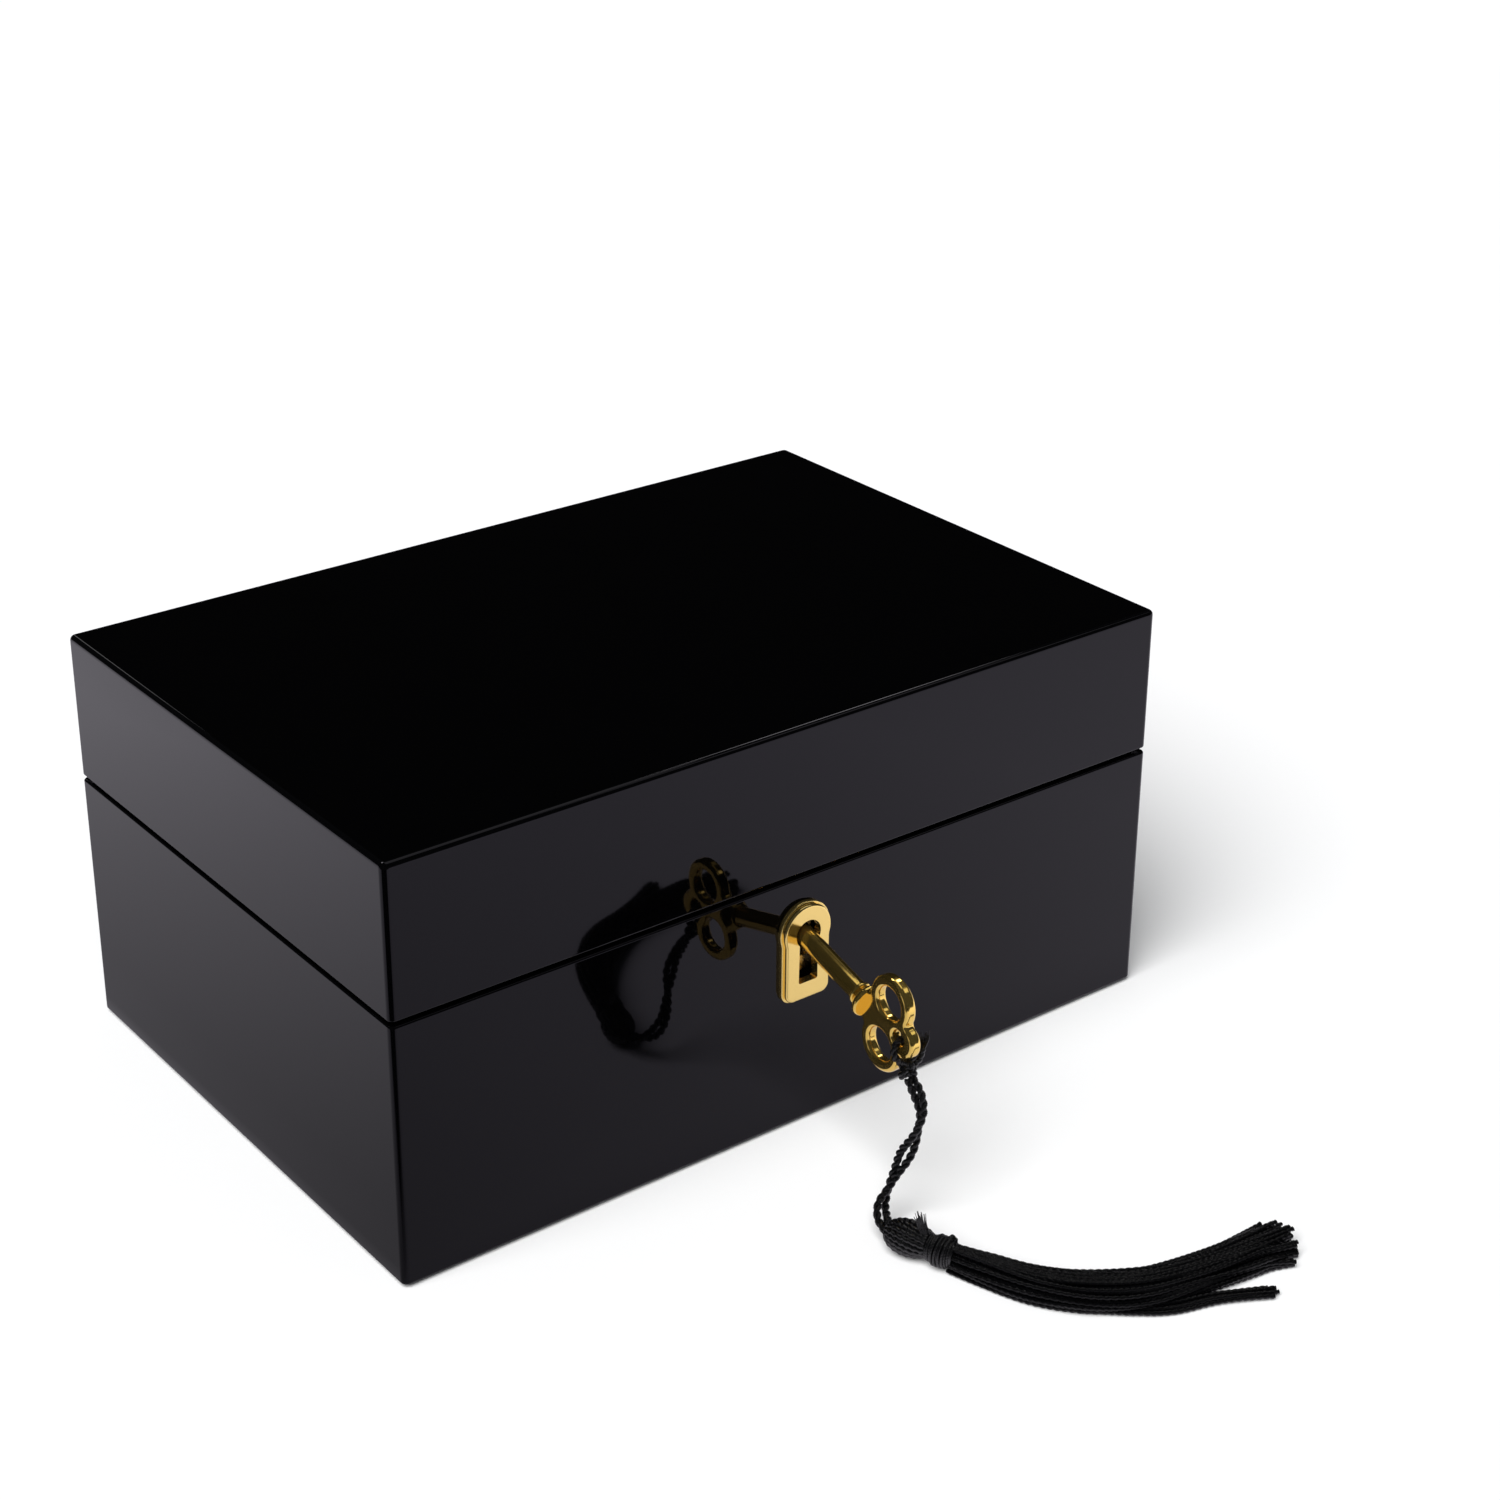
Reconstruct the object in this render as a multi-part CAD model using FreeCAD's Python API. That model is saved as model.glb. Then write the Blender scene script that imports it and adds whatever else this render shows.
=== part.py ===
import FreeCAD, Part
import math
import os

# A lacquered jewellery box with a hinged lid, a mirror in the lid, a lift-out tray,
# a box lock with its key, and a tassel on the key.
# Millimetres. +X runs along the front, +Y to the back, +Z up. The origin is the
# centre of the felt under the box, so the table is at Z = 0.

Vec = FreeCAD.Vector

# Box carcass
BOX_LENGTH = 240.0
BOX_DEPTH = 160.0
BOX_HEIGHT = 114.0
RIM_Z = 72.0
LID_GAP = 1.2
WALL = 10.0
TOP_PANEL = 6.0
BOTTOM_PANEL = 5.0
BOTTOM_REBATE = 5.0
FELT_THICKNESS = 0.8
FELT_INSET = 3.0
CORNER_RADIUS = 1.7
TOP_EDGE_RADIUS = 1.4
RIM_EDGE_RADIUS = 0.6
FOOT_EDGE_RADIUS = 0.7

# Linings inside the base
LEDGE_Z = 36.0
LEDGE_WIDTH = 4.0
SKIN_THICKNESS = 1.2
LINING_BELOW_RIM = 1.5
FLOOR_PAD = 2.5
PAD_CLEARANCE = 0.4

# Lift-out tray
TRAY_HEIGHT = 28.0
TRAY_WALL = 3.0
TRAY_FLOOR = 2.5
TRAY_CLEARANCE = 0.5
TRAY_EDGE_RADIUS = 0.9
TRAY_PAD = 1.5
DIVIDER_THICKNESS = 2.5
DIVIDER_HEIGHT = 20.0
ROLL_BAY_LENGTH = 70.0
ROLL_COUNT = 12
ROLL_HEIGHT = 15.0
ROLL_SPACING = 0.4
FRONT_BAY_SPLIT = 68.0
RIBBON_WIDTH = 12.0
RIBBON_THICKNESS = 0.8
RIBBON_LOOP = 3.6
RIBBON_LENGTH = 13.5
RIBBON_RISE = 8.5

# Lid interior
SURROUND_THICKNESS = 4.5
SURROUND_LIP = 1.5
SURROUND_BORDER = 16.0
SURROUND_CLEARANCE = 0.5
SURROUND_EDGE_RADIUS = 0.6
MIRROR_THICKNESS = 2.9
MIRROR_OVERLAP = 3.0
MIRROR_BEVEL = 0.8
MIRROR_CLEARANCE = 0.3
LID_LINING_ABOVE_RIM = 1.3
BUMPER_RADIUS = 3.0
BUMPER_CLEARANCE = 0.05
BUMPER_FROM_CORNER = 20.0

# Stop hinges
HINGE_FROM_END = 45.0
HINGE_WIDTH = 30.0
BASE_KNUCKLE = 10.0
KNUCKLE_CLEARANCE = 0.15
BARREL_RADIUS = 2.0
LUG_RADIUS = 3.6
LUG_CLEARANCE = 0.2
STOP_ANGLE = 95.0
STOP_CLEARANCE_ANGLE = 1.0
HINGE_PIN_RADIUS = 0.8
PIN_CLEARANCE = 0.05
AXIS_BEHIND_BACK = 2.3
LEAF_DEPTH = 7.5
MORTISE_CLEARANCE = 0.1
HINGE_SCREW_PITCH = 20.0
HINGE_SCREW_INSET = 4.4

# Wood screws
SCREW_HEAD_RADIUS = 2.0
SCREW_SHANK_RADIUS = 1.05
SCREW_LENGTH = 9.0
SCREW_POINT = 2.0
SCREW_SLOT_WIDTH = 0.5
SCREW_SLOT_DEPTH = 0.5
SCREW_HOLE_CLEARANCE = 0.05

# Keyhole and its escutcheon
KEYHOLE_Z = 56.8
KEYHOLE_RADIUS = 3.9
KEYHOLE_SLOT_LOW = 13.7
SLOT_HALF_TOP = 2.8
SLOT_HALF_LOW = 3.05
SLOT_CORNER_RADIUS = 0.7
KEYHOLE_EDGE_RADIUS = 0.25
WALL_HOLE_CLEARANCE = 0.4
PLATE_THICKNESS = 2.4
PLATE_STEP_THICKNESS = 1.1
PLATE_STEP = 0.55
PLATE_ARCH_RADIUS = 7.95
PLATE_ARCH_ABOVE = 0.7
PLATE_WAIST_INSET = 0.5
PLATE_NECK_RADIUS = 4.0
PLATE_LOW = 19.1
PLATE_CORNER_RADIUS = 3.0
PLATE_EDGE_RADIUS = 0.6
PLATE_FOOT_RADIUS = 0.3
SPIGOT_RADIUS = 0.9
SPIGOT_LENGTH = 1.5
SPIGOT_HALF_PITCH = 5.2
SPIGOT_ABOVE_LOW = 4.5

# Lock in the front wall
WALL_SKIN = 1.9
CASE_CLEARANCE = 0.1
CASE_SHEET = 1.0
CASE_HALF_LENGTH = 25.5
CASE_CAP_INSET = 0.2
SELVEDGE_THICKNESS = 1.4
SELVEDGE_HALF_LENGTH = 31.0
SELVEDGE_SCREW_INSET = 2.7
HUB_RADIUS = 10.4
HUB_THICKNESS = 2.1
HUB_CLEARANCE = 0.2
HUB_RUNNING_CLEARANCE = 0.08
HUB_SLOT_LOW = 8.2
BEARING_WALL = 1.2
CRANK_RADIUS = 5.3
CRANK_PIN_RADIUS = 1.0
CRANK_PIN_LENGTH = 1.6
CRANK_START_ANGLE = 45.0
FORK_CLEARANCE = 0.3
BOLT_THICKNESS = 1.4
BOLT_GAP = 0.3
BOLT_LOW = 2.6
BOLT_RISE = 8.0
BOLT_END_CLEARANCE = 0.5
GUIDE_RADIUS = 1.1
GUIDE_HALF_PITCH = 13.5
GUIDE_RISE = 5.3
GUIDE_CLEARANCE = 0.1
FINGER_HEIGHT = 2.4
FINGER_POST = 3.0
FINGER_CLEARANCE = 0.5
KEY_TURN = 90.0
BOLT_RATE = 0.9

# Strike plate on the lid
STAPLE_LEFT_X = -10.5
STAPLE_RIGHT_X = 13.0
STAPLE_THICKNESS = 1.5
STAPLE_WALL = 1.0
STAPLE_WINDOW_CLEARANCE = 0.5
STAPLE_BAR = 1.2
STAPLE_SLOT_CLEARANCE = 0.45
STRIKE_THICKNESS = 1.4
STRIKE_HALF_LENGTH = 24.0
STRIKE_DEPTH = 6.6
STRIKE_SCREW_INSET = 3.2

# Key. It hangs a little in its loose hole, so it droops and turns to one side.
KEY_DROOP = 14.0
KEY_YAW = 2.0
SHANK_RADIUS = 2.6
SHANK_REST_CLEARANCE = 0.3
SHANK_SIDE_SHIFT = -0.4
SHANK_INSIDE = 8.0
BIT_LENGTH = 2.0
BIT_REACH = 7.0
BIT_THICKNESS = 2.4
BIT_WARD_WIDTH = 0.8
BIT_WARD_DEPTH = 1.6
BEAD_START = 21.8
BEAD_LENGTH = 1.2
BEAD_RADIUS = 3.15
COLLAR_START = 24.6
COLLAR_LENGTH = 1.6
COLLAR_RADIUS = 4.5
COLLAR_NECK_RADIUS = 4.1
BOW_CENTRE = 34.2
BOW_THICKNESS = 3.2
BOW_EDGE_RADIUS = 1.05
SIDE_LOBE_OFFSET = 6.75
SIDE_LOBE_RADIUS = 7.3
SIDE_HOLE_RADIUS = 4.4
TIP_LOBE_OFFSET = 6.9
TIP_LOBE_RADIUS = 4.5
TIP_HOLE_OFFSET = 5.6
TIP_HOLE_RADIUS = 2.05
BOW_STEM_HALF_WIDTH = 4.4
BOW_STEM_LENGTH = 7.5
BOW_CREASE_RADIUS = 1.3

# Cord, knot and tassel
STRAND_RADIUS = 0.8
CORD_RADIUS = 1.8
KNOT_RADIUS = 1.9
KNOT_LENGTH = 4.6
LOOP_ANGLE = -60.0
LOOP_CLEARANCE = 0.5
CORD_ARC_SHARE = 0.45
HEAD_LENGTH = 11.5
HEAD_RADIUS = 4.6
HEAD_MOUTH_RADIUS = 2.0
BINDING_LENGTH = 7.0
BINDING_RADIUS = 3.7
BINDING_END_RADIUS = 3.3
BINDING_AXIS_HEIGHT = 4.0
SKIRT_START_WIDTH = 6.8
SKIRT_START_HEIGHT = 7.2
TABLE_CLEARANCE = 0.05
TASSEL_HEADING = Vec(0.36, -0.933, 0.0)
TASSEL_SEAT = 0.1

# Route of the hanging cord, from the knot to the tassel, read from the real thing.
CORD_ROUTE = (
    Vec(-1.9, -124.4, 36.4),
    Vec(-1.3, -129.4, 31.2),
    Vec(-4.5, -130.8, 25.0),
    Vec(-7.2, -128.4, 16.6),
    Vec(-10.0, -126.9, 9.4),
    Vec(-14.8, -129.2, 5.2),
    Vec(-17.3, -135.1, 4.7),
)

# Middle line of the tassel's skirt on the table past its neck, with its width and height.
SKIRT_STATIONS = (
    (Vec(-7.2, -160.6, 0.0), 9.6, 7.3),
    (Vec(-2.0, -170.8, 0.0), 12.8, 7.1),
    (Vec(5.8, -179.6, 0.0), 14.6, 6.8),
    (Vec(16.6, -186.4, 0.0), 14.2, 6.4),
    (Vec(28.6, -189.6, 0.0), 13.2, 5.9),
    (Vec(41.0, -191.4, 0.0), 14.4, 5.2),
    (Vec(50.0, -192.2, 0.0), 16.0, 4.6),
)
LOCK_TIPS = (
    Vec(62.0, -183.8, 0.0),
    Vec(63.2, -188.4, 0.0),
    Vec(62.4, -193.4, 0.0),
    Vec(59.6, -198.0, 0.0),
    Vec(55.0, -201.4, 0.0),
)
STRAY_LOCK = (
    Vec(12.0, -189.4, 0.0),
    Vec(20.0, -194.8, 0.0),
    Vec(31.2, -198.7, 0.0),
    Vec(44.6, -205.6, 0.0),
)
LOCK_START_WIDTH = 3.4
LOCK_END_WIDTH = 2.8
LOCK_HEIGHT = 3.0
STRAY_WIDTH = 2.8
STRAY_HEIGHT = 1.8
LOCK_ROOT = 3.0

# Places worked out from the sizes above
HALF_LENGTH = BOX_LENGTH / 2
HALF_DEPTH = BOX_DEPTH / 2
INNER_HALF_LENGTH = HALF_LENGTH - WALL
INNER_HALF_DEPTH = HALF_DEPTH - WALL
LID_Z = RIM_Z + LID_GAP
PANEL_Z = BOX_HEIGHT - TOP_PANEL
FLOOR_Z = FELT_THICKNESS + BOTTOM_PANEL
FRONT_Y = -HALF_DEPTH
PLATE_FRONT_Y = FRONT_Y - PLATE_THICKNESS
CASE_FRONT_Y = FRONT_Y + WALL_SKIN + CASE_CLEARANCE
CASE_BACK_Y = -INNER_HALF_DEPTH - CASE_CAP_INSET
CAP_FRONT_Y = CASE_BACK_Y - CASE_SHEET
HUB_FRONT_Y = CASE_FRONT_Y + CASE_SHEET + HUB_CLEARANCE
HUB_BACK_Y = HUB_FRONT_Y + HUB_THICKNESS
BOLT_FRONT_Y = HUB_BACK_Y + BOLT_GAP
BOLT_BACK_Y = BOLT_FRONT_Y + BOLT_THICKNESS
BOLT_MIDDLE_Y = (BOLT_FRONT_Y + BOLT_BACK_Y) / 2
SELVEDGE_Z = RIM_Z - SELVEDGE_THICKNESS
BEARING_RADIUS = HUB_RADIUS + HUB_RUNNING_CLEARANCE
CASE_LOW_Z = KEYHOLE_Z - BEARING_RADIUS - BEARING_WALL - CASE_SHEET
BOLT_TRAVEL = BOLT_RATE * CRANK_RADIUS * math.radians(KEY_TURN)
CRANK_TOP_Z = KEYHOLE_Z + CRANK_RADIUS
CRANK_REST_X = -CRANK_RADIUS * math.sin(math.radians(CRANK_START_ANGLE))
CRANK_REST_Z = KEYHOLE_Z + CRANK_RADIUS * math.cos(math.radians(CRANK_START_ANGLE))
BOLT_TOP_Z = KEYHOLE_Z + BOLT_RISE
STAPLE_HALF_WIDTH = BOLT_THICKNESS / 2 + STAPLE_WINDOW_CLEARANCE + STAPLE_WALL
STAPLE_LOW_Z = BOLT_TOP_Z + STAPLE_WINDOW_CLEARANCE
WINDOW_LOW_Z = STAPLE_LOW_Z + STAPLE_BAR
FINGER_LOW_Z = WINDOW_LOW_Z + STAPLE_WINDOW_CLEARANCE
FINGER_TOP_Z = FINGER_LOW_Z + FINGER_HEIGHT
WINDOW_TOP_Z = FINGER_TOP_Z + STAPLE_WINDOW_CLEARANCE
HINGE_X = HALF_LENGTH - HINGE_FROM_END
AXIS_Y = HALF_DEPTH + AXIS_BEHIND_BACK
AXIS_Z = RIM_Z + LID_GAP / 2
LEAF_THICKNESS = LUG_RADIUS - LID_GAP / 2
TRAY_HALF_LENGTH = INNER_HALF_LENGTH - SKIN_THICKNESS - TRAY_CLEARANCE
TRAY_HALF_DEPTH = INNER_HALF_DEPTH - SKIN_THICKNESS - TRAY_CLEARANCE
TRAY_FLOOR_Z = LEDGE_Z + TRAY_FLOOR
TRAY_INNER_X = TRAY_HALF_LENGTH - TRAY_WALL
TRAY_INNER_Y = TRAY_HALF_DEPTH - TRAY_WALL
BAY_WALL_X = -TRAY_INNER_X + ROLL_BAY_LENGTH
BAY_START_X = BAY_WALL_X + DIVIDER_THICKNESS
SURROUND_Z = PANEL_Z - SURROUND_THICKNESS

SIDES = ("front", "back", "left", "right")


def block(x0, x1, y0, y1, z0, z1):
    """A box between two corners."""
    return Part.makeBox(x1 - x0, y1 - y0, z1 - z0, Vec(x0, y0, z0))


def centred_block(half_length, half_depth, z0, z1):
    """A box centred on the Z axis."""
    return block(-half_length, half_length, -half_depth, half_depth, z0, z1)


def rod(radius, start, end):
    """A round bar between two points."""
    along = end.sub(start)
    return Part.makeCylinder(radius, along.Length, start, along)


def upright_edges(shape):
    """The straight edges that run along Z."""
    found = []
    for edge in shape.Edges:
        size = edge.BoundBox
        if size.ZLength > size.XLength + size.YLength and size.XLength < 1e-6 and size.YLength < 1e-6:
            found.append(edge)
    return found


def level_edges(shape, z):
    """The edges that lie wholly at one height."""
    found = []
    for edge in shape.Edges:
        size = edge.BoundBox
        if abs(size.ZMin - z) < 1e-5 and abs(size.ZMax - z) < 1e-5:
            found.append(edge)
    return found


def rounded_case(z0, z1, low_radius, high_radius):
    """The box's outer form between two heights, with its rounded edges."""
    case = centred_block(HALF_LENGTH, HALF_DEPTH, z0, z1)
    case = case.makeFillet(CORNER_RADIUS, upright_edges(case))
    case = case.makeFillet(high_radius, level_edges(case, z1))
    return case.makeFillet(low_radius, level_edges(case, z0))


def mitred(ring, side, half_length, half_depth, reach, z0, z1):
    """One side of a rectangular ring, cut from it by two 45 degree mitre planes."""
    spread = 1.0
    if side in ("front", "back"):
        sign = -1 if side == "front" else 1
        outline = (
            Vec(-half_length - spread, sign * (half_depth + spread), z0),
            Vec(half_length + spread, sign * (half_depth + spread), z0),
            Vec(half_length - reach, sign * (half_depth - reach), z0),
            Vec(-half_length + reach, sign * (half_depth - reach), z0),
        )
    else:
        sign = -1 if side == "left" else 1
        outline = (
            Vec(sign * (half_length + spread), -half_depth - spread, z0),
            Vec(sign * (half_length + spread), half_depth + spread, z0),
            Vec(sign * (half_length - reach), half_depth - reach, z0),
            Vec(sign * (half_length - reach), -half_depth + reach, z0),
        )
    wedge = Part.Face(Part.makePolygon(outline + (outline[0],))).extrude(Vec(0, 0, z1 - z0))
    return ring.common(wedge)


def wood_screw(head, direction, clearance=0.0):
    """A countersunk slotted wood screw, or its hole where a clearance is given."""
    radius = SCREW_SHANK_RADIUS + clearance
    top = SCREW_HEAD_RADIUS + clearance
    sink = top - radius
    profile = Part.makePolygon((
        Vec(0, 0, 0),
        Vec(top, 0, 0),
        Vec(radius, 0, sink),
        Vec(radius, 0, SCREW_LENGTH - SCREW_POINT),
        Vec(0, 0, SCREW_LENGTH + clearance),
        Vec(0, 0, 0),
    ))
    screw = Part.Face(profile).revolve(Vec(0, 0, 0), Vec(0, 0, 1), 360)
    if clearance == 0.0:
        half = SCREW_SLOT_WIDTH / 2
        screw = screw.cut(block(-top, top, -half, half, 0, SCREW_SLOT_DEPTH))
    screw.Placement = FreeCAD.Placement(head, FreeCAD.Rotation(Vec(0, 0, 1), direction))
    return screw


def hinge_screw_heads(sign, z):
    """Head centres of the two screws of one hinge leaf."""
    y = HALF_DEPTH - HINGE_SCREW_INSET
    return [Vec(sign * HINGE_X + half * HINGE_SCREW_PITCH / 2, y, z) for half in (-1, 1)]


def selvedge_screw_heads():
    """Head centres of the lock's two screws in the rim."""
    x = SELVEDGE_HALF_LENGTH - SELVEDGE_SCREW_INSET
    return [Vec(sign * x, BOLT_MIDDLE_Y, RIM_Z) for sign in (-1, 1)]


def strike_screw_heads():
    """Head centres of the strike plate's two screws."""
    x = STRIKE_HALF_LENGTH - STRIKE_SCREW_INSET
    return [Vec(sign * x, BOLT_MIDDLE_Y, LID_Z) for sign in (-1, 1)]


def keyhole_prism(grow, y0, y1, low):
    """A keyhole through the thickness from y0 to y1: a round hole over a flared slot."""
    radius = KEYHOLE_RADIUS + grow
    half_low = SLOT_HALF_LOW + grow
    half_top = SLOT_HALF_TOP + grow
    z_low = KEYHOLE_Z - low - grow
    corner = SLOT_CORNER_RADIUS
    slot = Part.Face(Part.makePolygon((
        Vec(-half_top, y0, KEYHOLE_Z),
        Vec(half_top, y0, KEYHOLE_Z),
        Vec(half_low, y0, z_low),
        Vec(-half_low, y0, z_low),
        Vec(-half_top, y0, KEYHOLE_Z),
    ))).extrude(Vec(0, y1 - y0, 0))
    low_edges = []
    for edge in slot.Edges:
        size = edge.BoundBox
        if size.YLength > size.XLength + size.ZLength and size.ZMax < z_low + corner:
            low_edges.append(edge)
    slot = slot.makeFillet(corner, low_edges)
    return slot.fuse(rod(radius, Vec(0, y0, KEYHOLE_Z), Vec(0, y1, KEYHOLE_Z))).removeSplitter()


# Carcass of the base

def base_ring():
    """The four base walls in one piece, before they are mitred apart."""
    ring = rounded_case(FELT_THICKNESS, RIM_Z, FOOT_EDGE_RADIUS, RIM_EDGE_RADIUS)
    ring = ring.cut(centred_block(INNER_HALF_LENGTH, INNER_HALF_DEPTH, 0, BOX_HEIGHT))
    rebate = centred_block(HALF_LENGTH - BOTTOM_REBATE, HALF_DEPTH - BOTTOM_REBATE, 0, FLOOR_Z)
    return ring.cut(rebate)


def base_wall(ring, side):
    """One base wall with the mortises that its fittings need."""
    wall = mitred(ring, side, HALF_LENGTH, HALF_DEPTH, WALL + 1, 0, BOX_HEIGHT)
    if side == "front":
        wall = wall.cut(lock_mortise())
    if side == "back":
        for sign in (-1, 1):
            wall = wall.cut(leaf_mortise(sign, RIM_Z - LEAF_THICKNESS - MORTISE_CLEARANCE, RIM_Z + 1))
            for head in hinge_screw_heads(sign, RIM_Z):
                wall = wall.cut(wood_screw(head, Vec(0, 0, -1), SCREW_HOLE_CLEARANCE))
    return wall


def lock_mortise():
    """What is cut from the front wall for the lock, its screws and the keyhole."""
    front = CASE_FRONT_Y - CASE_CLEARANCE
    half = CASE_HALF_LENGTH + CASE_CLEARANCE
    pocket = block(-half, half, front, -INNER_HALF_DEPTH + 1, CASE_LOW_Z - CASE_CLEARANCE, RIM_Z + 1)
    half = SELVEDGE_HALF_LENGTH + CASE_CLEARANCE
    bed = block(-half, half, front, -INNER_HALF_DEPTH + 1, SELVEDGE_Z, RIM_Z + 1)
    cut = pocket.fuse(bed)
    cut = cut.fuse(keyhole_prism(WALL_HOLE_CLEARANCE, FRONT_Y - 1, front + 1, KEYHOLE_SLOT_LOW))
    for head in selvedge_screw_heads():
        cut = cut.fuse(wood_screw(head, Vec(0, 0, -1), SCREW_HOLE_CLEARANCE))
    for sign in (-1, 1):
        cut = cut.fuse(escutcheon_spigot(sign, SCREW_HOLE_CLEARANCE))
    return cut


def bottom_panel():
    """The panel let into the underside of the walls."""
    half_length = HALF_LENGTH - BOTTOM_REBATE
    half_depth = HALF_DEPTH - BOTTOM_REBATE
    return centred_block(half_length, half_depth, FELT_THICKNESS, FLOOR_Z)


def base_felt():
    """The felt that the box rests on."""
    half_length = HALF_LENGTH - FELT_INSET
    half_depth = HALF_DEPTH - FELT_INSET
    felt = centred_block(half_length, half_depth, 0, FELT_THICKNESS)
    return felt.makeFillet(CORNER_RADIUS, upright_edges(felt))


def base_lining_ring():
    """The lined boards round the inside, thick below the tray's ledge and thin above."""
    top = RIM_Z - LINING_BELOW_RIM
    ring = centred_block(INNER_HALF_LENGTH, INNER_HALF_DEPTH, FLOOR_Z, top)
    low = centred_block(INNER_HALF_LENGTH - LEDGE_WIDTH, INNER_HALF_DEPTH - LEDGE_WIDTH, 0, LEDGE_Z)
    high = centred_block(INNER_HALF_LENGTH - SKIN_THICKNESS, INNER_HALF_DEPTH - SKIN_THICKNESS, LEDGE_Z, RIM_Z)
    return ring.cut(low).cut(high)


def floor_pad():
    """The padded board on the floor of the base."""
    inset = LEDGE_WIDTH + PAD_CLEARANCE
    pad = centred_block(INNER_HALF_LENGTH - inset, INNER_HALF_DEPTH - inset, FLOOR_Z, FLOOR_Z + FLOOR_PAD)
    return pad.makeFillet(TRAY_EDGE_RADIUS, level_edges(pad, FLOOR_Z + FLOOR_PAD))


# Keyhole plate

def escutcheon_outline(inset, y):
    """Outline of the keyhole plate: an arch that flows into a straight foot with round corners."""
    arch_radius = PLATE_ARCH_RADIUS - inset
    neck_radius = PLATE_NECK_RADIUS + inset
    side = PLATE_ARCH_RADIUS - PLATE_WAIST_INSET - inset
    corner = PLATE_CORNER_RADIUS - inset
    arch_z = KEYHOLE_Z + PLATE_ARCH_ABOVE
    low_z = KEYHOLE_Z - PLATE_LOW + inset
    apart = arch_radius + neck_radius
    neck_x = side + neck_radius
    neck_fall = math.sqrt(apart ** 2 - neck_x ** 2)
    neck_z = arch_z - neck_fall
    meet_x = neck_x * arch_radius / apart
    meet_z = arch_z - neck_fall * arch_radius / apart
    half_turn = math.atan2(neck_fall, neck_x) / 2
    waist_x = neck_x - neck_radius * math.cos(half_turn)
    waist_z = neck_z + neck_radius * math.sin(half_turn)
    bend = corner * (1 - math.sqrt(0.5))

    def at(x, z):
        return Vec(x, y, z)

    def flank(sign):
        inner = sign * (side - corner)
        diagonal = sign * (side - bend)
        edge = sign * side
        return [
            Part.Arc(at(sign * meet_x, meet_z), at(sign * waist_x, waist_z), at(edge, neck_z)).toShape(),
            Part.LineSegment(at(edge, neck_z), at(edge, low_z + corner)).toShape(),
            Part.Arc(at(edge, low_z + corner), at(diagonal, low_z + bend), at(inner, low_z)).toShape(),
        ]

    arch = Part.Arc(at(-meet_x, meet_z), at(0, arch_z + arch_radius), at(meet_x, meet_z)).toShape()
    foot = Part.LineSegment(at(side - corner, low_z), at(corner - side, low_z)).toShape()
    return Part.Wire(Part.__sortEdges__([arch, foot] + flank(1) + flank(-1)))


def plate_slab(inset, thickness):
    """One thickness of the keyhole plate."""
    return Part.Face(escutcheon_outline(inset, FRONT_Y)).extrude(Vec(0, -thickness, 0))


def escutcheon_spigot(sign, clearance=0.0):
    """One of the two studs on the back of the keyhole plate, or its hole."""
    z = KEYHOLE_Z - PLATE_LOW + SPIGOT_ABOVE_LOW
    x = sign * SPIGOT_HALF_PITCH
    return rod(SPIGOT_RADIUS + clearance, Vec(x, FRONT_Y, z), Vec(x, FRONT_Y + SPIGOT_LENGTH + clearance, z))


def facing_edges(shape, y):
    """The edges that lie wholly in one plane across Y."""
    found = []
    for edge in shape.Edges:
        size = edge.BoundBox
        if abs(size.YMin - y) < 1e-5 and abs(size.YMax - y) < 1e-5:
            found.append(edge)
    return found


def keyhole_escutcheon():
    """The cast keyhole plate with its stepped rim."""
    foot_y = FRONT_Y - PLATE_STEP_THICKNESS
    foot = plate_slab(0.0, PLATE_STEP_THICKNESS)
    foot = foot.makeFillet(PLATE_FOOT_RADIUS, facing_edges(foot, foot_y))
    face = plate_slab(PLATE_STEP, PLATE_THICKNESS)
    face = face.makeFillet(PLATE_EDGE_RADIUS, facing_edges(face, PLATE_FRONT_Y))
    plate = foot.fuse(face).removeSplitter()
    plate = plate.cut(keyhole_prism(0.0, PLATE_FRONT_Y - 1, FRONT_Y + 1, KEYHOLE_SLOT_LOW))
    for sign in (-1, 1):
        plate = plate.fuse(escutcheon_spigot(sign))
    return plate


# Lock

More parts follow.
